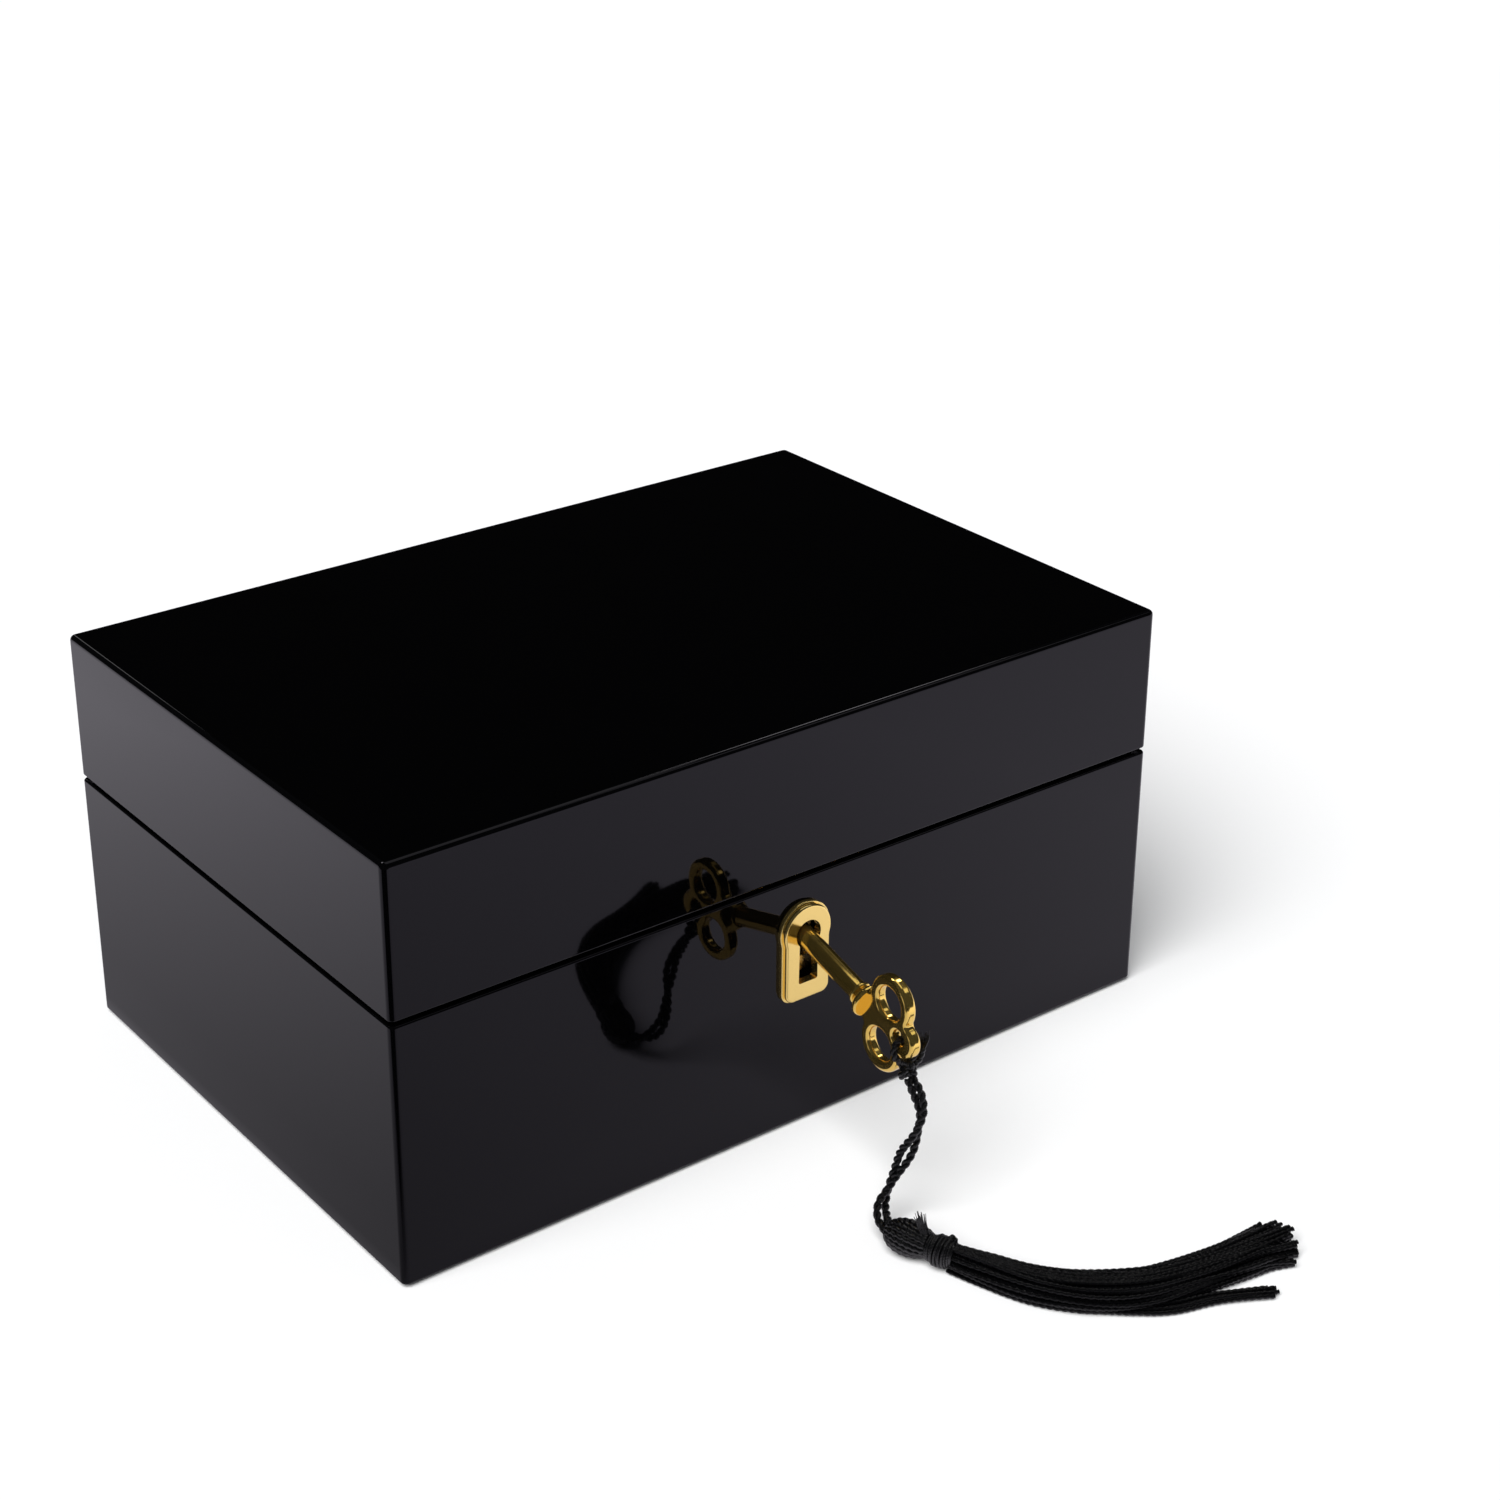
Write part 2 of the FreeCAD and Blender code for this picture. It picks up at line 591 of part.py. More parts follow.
def lock_case():
    """The lock's case: front plate, bent sides, selvedge, hub bearing and bolt guides."""
    low, high = CASE_LOW_Z, SELVEDGE_Z
    half = CASE_HALF_LENGTH
    inner_y = CASE_FRONT_Y + CASE_SHEET
    case = block(-half, half, CASE_FRONT_Y, CAP_FRONT_Y, low, high)
    case = case.cut(block(-half + CASE_SHEET, half - CASE_SHEET, inner_y, 0, low + CASE_SHEET, high + 1))
    selvedge = block(-SELVEDGE_HALF_LENGTH, SELVEDGE_HALF_LENGTH, CASE_FRONT_Y, CASE_BACK_Y, high, RIM_Z)
    case = case.fuse(selvedge)
    ring = rod(BEARING_RADIUS + BEARING_WALL, Vec(0, inner_y, KEYHOLE_Z), Vec(0, HUB_BACK_Y, KEYHOLE_Z))
    ring = ring.cut(rod(BEARING_RADIUS, Vec(0, inner_y - 1, KEYHOLE_Z), Vec(0, HUB_BACK_Y + 1, KEYHOLE_Z)))
    case = case.fuse(ring)
    for sign in (-1, 1):
        x = sign * GUIDE_HALF_PITCH
        z = KEYHOLE_Z + GUIDE_RISE
        case = case.fuse(rod(GUIDE_RADIUS, Vec(x, inner_y - CASE_SHEET / 2, z), Vec(x, CASE_BACK_Y, z)))
    case = case.cut(keyhole_prism(WALL_HOLE_CLEARANCE, CASE_FRONT_Y - 1, inner_y + 0.01, HUB_SLOT_LOW))
    for x in (STAPLE_LEFT_X, STAPLE_RIGHT_X):
        case = case.cut(staple_slot(x))
    for head in selvedge_screw_heads():
        case = case.cut(wood_screw(head, Vec(0, 0, -1), SCREW_HOLE_CLEARANCE))
    return case.removeSplitter()


def staple_slot(x):
    """The slot in the selvedge that one staple of the strike goes down through."""
    half_x = STAPLE_THICKNESS / 2 + STAPLE_SLOT_CLEARANCE
    half_y = STAPLE_HALF_WIDTH + STAPLE_SLOT_CLEARANCE
    return block(x - half_x, x + half_x, BOLT_MIDDLE_Y - half_y, BOLT_MIDDLE_Y + half_y, SELVEDGE_Z - 0.01, RIM_Z + 1)


def lock_cap():
    """The flat plate that closes the lock case from inside the box."""
    half = CASE_HALF_LENGTH
    cap = block(-half, half, CAP_FRONT_Y, CASE_BACK_Y, CASE_LOW_Z, SELVEDGE_Z)
    for sign in (-1, 1):
        x = sign * GUIDE_HALF_PITCH
        z = KEYHOLE_Z + GUIDE_RISE
        hole = rod(GUIDE_RADIUS + PIN_CLEARANCE, Vec(x, CAP_FRONT_Y - 1, z), Vec(x, CASE_BACK_Y + 1, z))
        cap = cap.cut(hole)
    return cap


def lock_hub():
    """The disc that the key's bit turns, with the crank pin that drives the bolt."""
    hub = rod(HUB_RADIUS, Vec(0, HUB_FRONT_Y, KEYHOLE_Z), Vec(0, HUB_BACK_Y, KEYHOLE_Z))
    hub = hub.cut(keyhole_prism(0.0, HUB_FRONT_Y - 1, HUB_BACK_Y + 1, HUB_SLOT_LOW))
    foot = Vec(CRANK_REST_X, HUB_BACK_Y - HUB_THICKNESS / 2, CRANK_REST_Z)
    end = Vec(CRANK_REST_X, HUB_BACK_Y + CRANK_PIN_LENGTH, CRANK_REST_Z)
    return hub.fuse(rod(CRANK_PIN_RADIUS, foot, end)).removeSplitter()


def guide_slot(x):
    """The slot in the bolt that slides along one guide of the case."""
    z = KEYHOLE_Z + GUIDE_RISE
    half = GUIDE_RADIUS + GUIDE_CLEARANCE
    start = x - BOLT_TRAVEL
    y0, y1 = BOLT_FRONT_Y - 1, BOLT_BACK_Y + 1
    slot = block(start, x, y0, y1, z - half, z + half)
    for end in (start, x):
        slot = slot.fuse(rod(half, Vec(end, y0, z), Vec(end, y1, z)))
    return slot


def lock_bolt():
    """The sliding bolt: a bar with a fork for the crank pin and two hooked fingers."""
    y0, y1 = BOLT_FRONT_Y, BOLT_BACK_Y
    low = KEYHOLE_Z + BOLT_LOW
    end = CASE_HALF_LENGTH - CASE_SHEET - BOLT_END_CLEARANCE
    bolt = block(-end, end - BOLT_TRAVEL, y0, y1, low, BOLT_TOP_Z)
    for staple_x in (STAPLE_LEFT_X, STAPLE_RIGHT_X):
        near = staple_x - STAPLE_THICKNESS / 2 - FINGER_CLEARANCE
        post = near - BOLT_TRAVEL - FINGER_POST
        bolt = bolt.fuse(block(post, post + FINGER_POST, y0, y1, low + 1, FINGER_TOP_Z))
        bolt = bolt.fuse(block(post, near, y0, y1, FINGER_LOW_Z, FINGER_TOP_Z))
    for sign in (-1, 1):
        bolt = bolt.cut(guide_slot(sign * GUIDE_HALF_PITCH))
    half = CRANK_PIN_RADIUS + FORK_CLEARANCE
    top = CRANK_TOP_Z
    fork = block(CRANK_REST_X - half, CRANK_REST_X + half, y0 - 1, y1 + 1, low - 1, top)
    fork = fork.fuse(rod(half, Vec(CRANK_REST_X, y0 - 1, top), Vec(CRANK_REST_X, y1 + 1, top)))
    return bolt.cut(fork).removeSplitter()


def lock_screws():
    """The two screws that hold the lock in the rim."""
    return Part.makeCompound([wood_screw(head, Vec(0, 0, -1)) for head in selvedge_screw_heads()])


# Stop hinges

def leaf_mortise(sign, z0, z1):
    """The recess in a rim for one hinge leaf."""
    half = HINGE_WIDTH / 2 + MORTISE_CLEARANCE
    x = sign * HINGE_X
    return block(x - half, x + half, HALF_DEPTH - LEAF_DEPTH - MORTISE_CLEARANCE, HALF_DEPTH + LEAF_DEPTH, z0, z1)


def hinge_leaf(sign, part):
    """One leaf of a stop hinge, with its knuckles and the bevelled lug that stops the lid."""
    up = 1 if part == "lid" else -1
    x = sign * HINGE_X
    half = HINGE_WIDTH / 2
    knuckle = BASE_KNUCKLE / 2
    near = LID_GAP / 2
    bevel = math.radians(STOP_ANGLE / 2 + STOP_CLEARANCE_ANGLE / 2)
    reach = 2 * LUG_RADIUS
    z_in = AXIS_Z + up * near
    z_out = AXIS_Z + up * LUG_RADIUS
    leaf = block(x - half, x + half, HALF_DEPTH - LEAF_DEPTH, AXIS_Y, min(z_in, z_out), max(z_in, z_out))
    lug = rod(LUG_RADIUS, Vec(x - half, AXIS_Y, AXIS_Z), Vec(x + half, AXIS_Y, AXIS_Z))
    wedge = Part.Face(Part.makePolygon((
        Vec(x - half, AXIS_Y + near / math.tan(bevel), z_in),
        Vec(x - half, AXIS_Y + reach / math.tan(bevel), AXIS_Z + up * reach),
        Vec(x - half, AXIS_Y - reach, AXIS_Z + up * reach),
        Vec(x - half, AXIS_Y - reach, z_in),
        Vec(x - half, AXIS_Y + near / math.tan(bevel), z_in),
    ))).extrude(Vec(HINGE_WIDTH, 0, 0))
    leaf = leaf.fuse(lug.common(wedge))
    gap = KNUCKLE_CLEARANCE
    if part == "base":
        own = [(-knuckle, knuckle)]
        other = [(-half - 1, -knuckle), (knuckle, half + 1)]
    else:
        own = [(-half, -knuckle - gap), (knuckle + gap, half)]
        other = [(-knuckle - gap, knuckle + gap)]
    for start, end in own:
        leaf = leaf.fuse(rod(BARREL_RADIUS, Vec(x + start, AXIS_Y, AXIS_Z), Vec(x + end, AXIS_Y, AXIS_Z)))
    for start, end in other:
        relief = rod(BARREL_RADIUS + LUG_CLEARANCE, Vec(x + start, AXIS_Y, AXIS_Z), Vec(x + end, AXIS_Y, AXIS_Z))
        leaf = leaf.cut(relief)
    bore = rod(HINGE_PIN_RADIUS + PIN_CLEARANCE, Vec(x - half - 1, AXIS_Y, AXIS_Z), Vec(x + half + 1, AXIS_Y, AXIS_Z))
    leaf = leaf.cut(bore)
    for head in hinge_screw_heads(sign, z_in):
        leaf = leaf.cut(wood_screw(head, Vec(0, 0, up), SCREW_HOLE_CLEARANCE))
    return leaf.removeSplitter()


def hinge_pin(sign):
    """The pin through the knuckles of one hinge."""
    half = HINGE_WIDTH / 2
    x = sign * HINGE_X
    return rod(HINGE_PIN_RADIUS, Vec(x - half, AXIS_Y, AXIS_Z), Vec(x + half, AXIS_Y, AXIS_Z))


def hinge_screws(part):
    """The four screws of the two leaves on the base or on the lid."""
    up = 1 if part == "lid" else -1
    z = LID_Z if part == "lid" else RIM_Z
    screws = []
    for sign in (-1, 1):
        for head in hinge_screw_heads(sign, z):
            screws.append(wood_screw(head, Vec(0, 0, up)))
    return Part.makeCompound(screws)


# Tray

def tray_ring():
    """The four tray walls in one piece, before they are mitred apart."""
    top = LEDGE_Z + TRAY_HEIGHT
    ring = centred_block(TRAY_HALF_LENGTH, TRAY_HALF_DEPTH, LEDGE_Z, top)
    ring = ring.makeFillet(TRAY_WALL / 2, upright_edges(ring))
    ring = ring.cut(centred_block(TRAY_INNER_X, TRAY_INNER_Y, 0, BOX_HEIGHT))
    return ring.makeFillet(TRAY_EDGE_RADIUS, level_edges(ring, top))


def tray_floor():
    """The board that closes the tray from below."""
    return centred_block(TRAY_INNER_X, TRAY_INNER_Y, LEDGE_Z, TRAY_FLOOR_Z)


def divider(x0, x1, y0, y1):
    """An upright board on the tray's floor, with a rounded top edge."""
    top = TRAY_FLOOR_Z + DIVIDER_HEIGHT
    board = block(x0, x1, y0, y1, TRAY_FLOOR_Z, top)
    along_x = x1 - x0 > y1 - y0
    edges = []
    for edge in level_edges(board, top):
        if (edge.BoundBox.XLength > edge.BoundBox.YLength) == along_x:
            edges.append(edge)
    return board.makeFillet(DIVIDER_THICKNESS / 2 - 0.1, edges)


def tray_bay_wall():
    """The divider between the ring rolls and the compartments."""
    return divider(BAY_WALL_X, BAY_START_X, -TRAY_INNER_Y, TRAY_INNER_Y)


def tray_long_divider():
    """The divider along the tray, behind the two front compartments."""
    half = DIVIDER_THICKNESS / 2
    return divider(BAY_START_X, TRAY_INNER_X, -half, half)


def tray_cross_divider():
    """The divider between the two front compartments."""
    x = BAY_START_X + FRONT_BAY_SPLIT
    return divider(x, x + DIVIDER_THICKNESS, -TRAY_INNER_Y, -DIVIDER_THICKNESS / 2)


def tray_pads():
    """The lined pads on the floor of the three compartments."""
    split = BAY_START_X + FRONT_BAY_SPLIT
    half = DIVIDER_THICKNESS / 2
    areas = (
        (BAY_START_X, TRAY_INNER_X, half, TRAY_INNER_Y),
        (BAY_START_X, split, -TRAY_INNER_Y, -half),
        (split + DIVIDER_THICKNESS, TRAY_INNER_X, -TRAY_INNER_Y, -half),
    )
    gap = PAD_CLEARANCE
    pads = []
    for x0, x1, y0, y1 in areas:
        pads.append(block(x0 + gap, x1 - gap, y0 + gap, y1 - gap, TRAY_FLOOR_Z, TRAY_FLOOR_Z + TRAY_PAD))
    return Part.makeCompound(pads)


def ring_rolls():
    """The row of padded rolls that hold rings between them, each with a crowned top."""
    pitch = 2 * TRAY_INNER_Y / ROLL_COUNT
    half = (pitch - ROLL_SPACING) / 2
    shoulder = ROLL_HEIGHT - half
    x0 = -TRAY_INNER_X + PAD_CLEARANCE
    x1 = BAY_WALL_X - PAD_CLEARANCE
    rolls = []
    for index in range(ROLL_COUNT):
        y = -TRAY_INNER_Y + (index + 0.5) * pitch
        z = TRAY_FLOOR_Z
        bow = half * math.sqrt(0.5)
        outline = [
            Part.LineSegment(Vec(x0, y - half, z), Vec(x0, y + half, z)).toShape(),
            Part.LineSegment(Vec(x0, y + half, z), Vec(x0, y + half, z + shoulder)).toShape(),
            Part.Arc(Vec(x0, y + half, z + shoulder), Vec(x0, y + bow, z + shoulder + bow), Vec(x0, y, z + ROLL_HEIGHT)).toShape(),
            Part.Arc(Vec(x0, y, z + ROLL_HEIGHT), Vec(x0, y - bow, z + shoulder + bow), Vec(x0, y - half, z + shoulder)).toShape(),
            Part.LineSegment(Vec(x0, y - half, z + shoulder), Vec(x0, y - half, z)).toShape(),
        ]
        rolls.append(Part.Face(Part.Wire(outline)).extrude(Vec(x1 - x0, 0, 0)))
    return Part.makeCompound(rolls)


def ribbon_pull(sign):
    """A loop of ribbon glued inside one end wall, to lift the tray by."""
    top = LEDGE_Z + TRAY_HEIGHT + RIBBON_RISE
    outer = RIBBON_LOOP / 2
    inner = outer - RIBBON_THICKNESS
    x = sign * (TRAY_INNER_X - outer)
    half = RIBBON_WIDTH / 2
    z_high = top - outer
    z_low = top - RIBBON_LENGTH + outer

    def band(radius):
        body = block(x - radius, x + radius, -half, half, z_low, z_high)
        for z in (z_low, z_high):
            body = body.fuse(rod(radius, Vec(x, -half, z), Vec(x, half, z)))
        return body.removeSplitter()

    return band(outer).cut(band(inner))


# Lid

def lid_form():
    """The lid's outer form as one solid."""
    return rounded_case(LID_Z, BOX_HEIGHT, RIM_EDGE_RADIUS, TOP_EDGE_RADIUS)


def lid_top(form):
    """The lid's top panel."""
    return form.common(centred_block(HALF_LENGTH + 1, HALF_DEPTH + 1, PANEL_Z, BOX_HEIGHT + 1))


def lid_rail(form, side):
    """One side of the lid with the mortises that its fittings need."""
    ring = form.common(centred_block(HALF_LENGTH + 1, HALF_DEPTH + 1, LID_Z - 1, PANEL_Z))
    ring = ring.cut(centred_block(INNER_HALF_LENGTH, INNER_HALF_DEPTH, 0, BOX_HEIGHT))
    rail = mitred(ring, side, HALF_LENGTH, HALF_DEPTH, WALL + 1, 0, BOX_HEIGHT)
    if side == "front":
        half = STRIKE_HALF_LENGTH + MORTISE_CLEARANCE
        depth = STRIKE_DEPTH / 2 + MORTISE_CLEARANCE
        rail = rail.cut(block(-half, half, BOLT_MIDDLE_Y - depth, BOLT_MIDDLE_Y + depth, 0, LID_Z + STRIKE_THICKNESS))
        for head in strike_screw_heads():
            rail = rail.cut(wood_screw(head, Vec(0, 0, 1), SCREW_HOLE_CLEARANCE))
    if side == "back":
        for sign in (-1, 1):
            rail = rail.cut(leaf_mortise(sign, 0, LID_Z + LEAF_THICKNESS + MORTISE_CLEARANCE))
            for head in hinge_screw_heads(sign, LID_Z):
                rail = rail.cut(wood_screw(head, Vec(0, 0, 1), SCREW_HOLE_CLEARANCE))
    return rail


def lid_lining_ring():
    """The lined boards round the inside of the lid."""
    ring = centred_block(INNER_HALF_LENGTH, INNER_HALF_DEPTH, LID_Z + LID_LINING_ABOVE_RIM, SURROUND_Z)
    return ring.cut(centred_block(INNER_HALF_LENGTH - SKIN_THICKNESS, INNER_HALF_DEPTH - SKIN_THICKNESS, 0, BOX_HEIGHT))


def mirror_surround():
    """The lined frame that holds the mirror by its edges."""
    half_length = INNER_HALF_LENGTH - SURROUND_CLEARANCE
    half_depth = INNER_HALF_DEPTH - SURROUND_CLEARANCE
    frame = centred_block(half_length, half_depth, SURROUND_Z, PANEL_Z)
    window_x = half_length - SURROUND_BORDER
    window_y = half_depth - SURROUND_BORDER
    frame = frame.cut(centred_block(window_x, window_y, 0, BOX_HEIGHT))
    frame = frame.makeFillet(SURROUND_EDGE_RADIUS, level_edges(frame, SURROUND_Z))
    grow = MIRROR_OVERLAP + MIRROR_CLEARANCE
    pocket = centred_block(window_x + grow, window_y + grow, SURROUND_Z + SURROUND_LIP, BOX_HEIGHT)
    return frame.cut(pocket)


def mirror_glass():
    """The silvered glass, with a bevelled edge on the side that shows."""
    half_length = INNER_HALF_LENGTH - SURROUND_CLEARANCE - SURROUND_BORDER + MIRROR_OVERLAP
    half_depth = INNER_HALF_DEPTH - SURROUND_CLEARANCE - SURROUND_BORDER + MIRROR_OVERLAP
    low = SURROUND_Z + SURROUND_LIP
    glass = centred_block(half_length, half_depth, low, low + MIRROR_THICKNESS)
    return glass.makeChamfer(MIRROR_BEVEL, level_edges(glass, low))


def lock_strike():
    """The strike plate under the lid's front edge, with two staples for the bolt."""
    half = STRIKE_HALF_LENGTH
    depth = STRIKE_DEPTH / 2
    top = LID_Z + STRIKE_THICKNESS
    strike = block(-half, half, BOLT_MIDDLE_Y - depth, BOLT_MIDDLE_Y + depth, LID_Z, top)
    window = STAPLE_HALF_WIDTH - STAPLE_WALL
    for x in (STAPLE_LEFT_X, STAPLE_RIGHT_X):
        x0, x1 = x - STAPLE_THICKNESS / 2, x + STAPLE_THICKNESS / 2
        y0, y1 = BOLT_MIDDLE_Y - STAPLE_HALF_WIDTH, BOLT_MIDDLE_Y + STAPLE_HALF_WIDTH
        staple = block(x0, x1, y0, y1, STAPLE_LOW_Z, top)
        hole = block(x0 - 1, x1 + 1, BOLT_MIDDLE_Y - window, BOLT_MIDDLE_Y + window, WINDOW_LOW_Z, WINDOW_TOP_Z)
        strike = strike.fuse(staple.cut(hole))
    for head in strike_screw_heads():
        strike = strike.cut(wood_screw(head, Vec(0, 0, 1), SCREW_HOLE_CLEARANCE))
    return strike.removeSplitter()


def strike_screws():
    """The two screws of the strike plate."""
    return Part.makeCompound([wood_screw(head, Vec(0, 0, 1)) for head in strike_screw_heads()])


def lid_bumpers():
    """Four small pads under the lid's ends that keep the lid off the rim."""
    pads = []
    for sx in (-1, 1):
        for sy in (-1, 1):
            x = sx * (HALF_LENGTH - WALL / 2)
            y = sy * (HALF_DEPTH - BUMPER_FROM_CORNER)
            pads.append(rod(BUMPER_RADIUS, Vec(x, y, RIM_Z + BUMPER_CLEARANCE), Vec(x, y, LID_Z)))
    return Part.makeCompound(pads)


# Key

def key_placement():
    """Where the key sits: local Z runs out along the shank, local Y up across the bow."""
    droop = math.radians(KEY_DROOP)
    yaw = math.radians(KEY_YAW)
    out = Vec(-math.cos(droop) * math.sin(yaw), -math.cos(droop) * math.cos(yaw), -math.sin(droop))
    up = Vec(-math.sin(droop) * math.sin(yaw), -math.sin(droop) * math.cos(yaw), math.cos(droop))
    side = Vec(math.cos(yaw), -math.sin(yaw), 0)
    drop = KEYHOLE_RADIUS - SHANK_REST_CLEARANCE - SHANK_RADIUS / math.cos(droop)
    foot = Vec(SHANK_SIDE_SHIFT, PLATE_FRONT_Y, KEYHOLE_Z - drop)
    matrix = FreeCAD.Matrix(
        side.x, up.x, out.x, foot.x,
        side.y, up.y, out.y, foot.y,
        side.z, up.z, out.z, foot.z,
        0, 0, 0, 1,
    )
    return FreeCAD.Placement(matrix)


def key_shank():
    """The turned shank with its bead and collar, as one revolved profile."""
    bead_end = BEAD_START + BEAD_LENGTH
    collar_end = COLLAR_START + COLLAR_LENGTH
    bead_middle = (BEAD_START + bead_end) / 2
    collar_middle = (COLLAR_START + collar_end) / 2

    def at(radius, s):
        return Vec(radius, 0, s)

    profile = [
        Part.LineSegment(at(0, -SHANK_INSIDE), at(SHANK_RADIUS, -SHANK_INSIDE)).toShape(),
        Part.LineSegment(at(SHANK_RADIUS, -SHANK_INSIDE), at(SHANK_RADIUS, BEAD_START)).toShape(),
        Part.Arc(at(SHANK_RADIUS, BEAD_START), at(BEAD_RADIUS, bead_middle), at(SHANK_RADIUS, bead_end)).toShape(),
        Part.LineSegment(at(SHANK_RADIUS, bead_end), at(COLLAR_NECK_RADIUS, COLLAR_START)).toShape(),
        Part.Arc(
            at(COLLAR_NECK_RADIUS, COLLAR_START),
            at(COLLAR_RADIUS, collar_middle),
            at(COLLAR_NECK_RADIUS, collar_end),
        ).toShape(),
        Part.LineSegment(at(COLLAR_NECK_RADIUS, collar_end), at(0, collar_end)).toShape(),
        Part.LineSegment(at(0, collar_end), at(0, -SHANK_INSIDE)).toShape(),
    ]
    return Part.Face(Part.Wire(profile)).revolve(Vec(0, 0, 0), Vec(0, 0, 1), 360)


def bow_disc(radius, up, out, spare=0.0):
    """A disc across the bow's plane, or a cutter where it has spare length."""
    half = BOW_THICKNESS / 2 + spare
    return rod(radius, Vec(-half, up, out), Vec(half, up, out))


def key_bow():
    """The trefoil bow: two side lobes and a smaller tip lobe, each with its hole."""
    half = BOW_THICKNESS / 2
    start = COLLAR_START + COLLAR_LENGTH / 2
    width = BOW_STEM_HALF_WIDTH
    bow = block(-half, half, -width, width, start, start + BOW_STEM_LENGTH)
    for sign in (-1, 1):
        bow = bow.fuse(bow_disc(SIDE_LOBE_RADIUS, sign * SIDE_LOBE_OFFSET, BOW_CENTRE))
    bow = bow.fuse(bow_disc(TIP_LOBE_RADIUS, 0, BOW_CENTRE + TIP_LOBE_OFFSET)).removeSplitter()
    creases = []
    for edge in bow.Edges:
        size = edge.BoundBox
        inside = size.ZMin > start + 1
        if size.XLength > half and size.YLength < 1e-5 and size.ZLength < 1e-5 and inside:
            creases.append(edge)
    bow = bow.makeFillet(BOW_CREASE_RADIUS, creases)
    for sign in (-1, 1):
        bow = bow.cut(bow_disc(SIDE_HOLE_RADIUS, sign * SIDE_LOBE_OFFSET, BOW_CENTRE, 1))
    bow = bow.cut(bow_disc(TIP_HOLE_RADIUS, 0, BOW_CENTRE + TIP_HOLE_OFFSET, 1))
    rims = []
    for edge in bow.Edges:
        size = edge.BoundBox
        flat = size.XLength < 1e-5 and abs(abs(size.XMin) - half) < 1e-5
        if flat and size.ZMax > start + 1e-4:
            rims.append(edge)
    return bow.makeFillet(BOW_EDGE_RADIUS, rims)


def key_bit():
    """The flag at the end of the shank, with one ward cut."""
    half = BIT_THICKNESS / 2
    start = -SHANK_INSIDE
    bit = block(-half, half, -BIT_REACH, 0, start, start + BIT_LENGTH)
    middle = start + BIT_LENGTH / 2
    ward = BIT_WARD_WIDTH / 2
    return bit.cut(block(-half - 1, half + 1, -BIT_REACH - 1, -BIT_REACH + BIT_WARD_DEPTH, middle - ward, middle + ward))


def key():
    """The whole key in its keyhole."""
    body = key_shank().fuse(key_bow()).fuse(key_bit()).removeSplitter()
    body.Placement = key_placement()
    return body


# Cord and tassel

def cord_knot():
    """The loop of cord through the bow's tip hole, with the knot under it."""
    angle = math.radians(LOOP_ANGLE)
    across = Vec(0, math.sin(angle), math.cos(angle))
    hole = Vec(0, 0, BOW_CENTRE + TIP_HOLE_OFFSET)
    shift = TIP_LOBE_OFFSET - TIP_HOLE_OFFSET
    side = shift * math.cos(angle)
    rim = side + math.sqrt(side ** 2 + TIP_LOBE_RADIUS ** 2 - shift ** 2)
    wall_middle = (TIP_HOLE_RADIUS + rim) / 2
    square = math.hypot((rim - TIP_HOLE_RADIUS) / 2, BOW_THICKNESS / 2)
    corner = square - BOW_EDGE_RADIUS * (math.sqrt(2) - 1)
    ring = corner + LOOP_CLEARANCE + STRAND_RADIUS
    centre = hole.add(across * wall_middle)
    loop = Part.makeTorus(ring, STRAND_RADIUS, centre, Vec(1, 0, 0).cross(across))
    knot_middle = centre.add(across * (ring + KNOT_RADIUS))
    knot = ball_of_cord(KNOT_RADIUS, KNOT_LENGTH)
    knot.Placement = FreeCAD.Placement(knot_middle, FreeCAD.Rotation(Vec(0, 0, 1), Vec(1, 0, 0)))
    shape = loop.fuse(knot)
    shape.Placement = key_placement()
    return shape


def ball_of_cord(radius, length):
    """A barrel with rounded ends about local Z."""
    half = length / 2
    end = radius / 2
    profile = [
        Part.LineSegment(Vec(0, 0, -half), Vec(end, 0, -half)).toShape(),
        Part.Arc(Vec(end, 0, -half), Vec(radius, 0, 0), Vec(end, 0, half)).toShape(),
        Part.LineSegment(Vec(end, 0, half), Vec(0, 0, half)).toShape(),
        Part.LineSegment(Vec(0, 0, half), Vec(0, 0, -half)).toShape(),
    ]
    return Part.Face(Part.Wire(profile)).revolve(Vec(0, 0, 0), Vec(0, 0, 1), 360)


def rounded_route(points):
    """Straight runs joined by tangent arcs, with the radius of each arc."""
    edges = []
    radii = []
    start = points[0]
    for before, corner, after in zip(points, points[1:], points[2:]):
        back = before.sub(corner)
        ahead = after.sub(corner)
        trim = CORD_ARC_SHARE * min(back.Length, ahead.Length)
        unit_back = back * (1 / back.Length)
        unit_ahead = ahead * (1 / ahead.Length)
        half_turn = (math.pi - unit_back.getAngle(unit_ahead)) / 2
        radius = trim / math.tan(half_turn)
        enter = corner.add(unit_back * trim)
        leave = corner.add(unit_ahead * trim)
        bisector = unit_back.add(unit_ahead)
        bisector.normalize()
        middle = corner.add(bisector * (radius / math.cos(half_turn) - radius))
        edges.append(Part.LineSegment(start, enter).toShape())
        edges.append(Part.Arc(enter, middle, leave).toShape())
        radii.append(radius)
        start = leave
    edges.append(Part.LineSegment(start, points[-1]).toShape())
    return Part.Wire(edges), radii


def tassel_cord():
    """The doubled cord from the knot down to the tassel's head."""
    path, radii = rounded_route(CORD_ROUTE)
    first = CORD_ROUTE[1].sub(CORD_ROUTE[0])
    section = Part.Wire(Part.Circle(CORD_ROUTE[0], first, CORD_RADIUS).toShape())
    tube = path.makePipeShell([section], True, False)
    volume = math.pi * CORD_RADIUS ** 2 * path.Length
    print("cord length %.1f, radii %s" % (path.Length, ["%.1f" % radius for radius in radii]))
    print("cord volume %.1f of %.1f" % (tube.Volume, volume))
    return tube


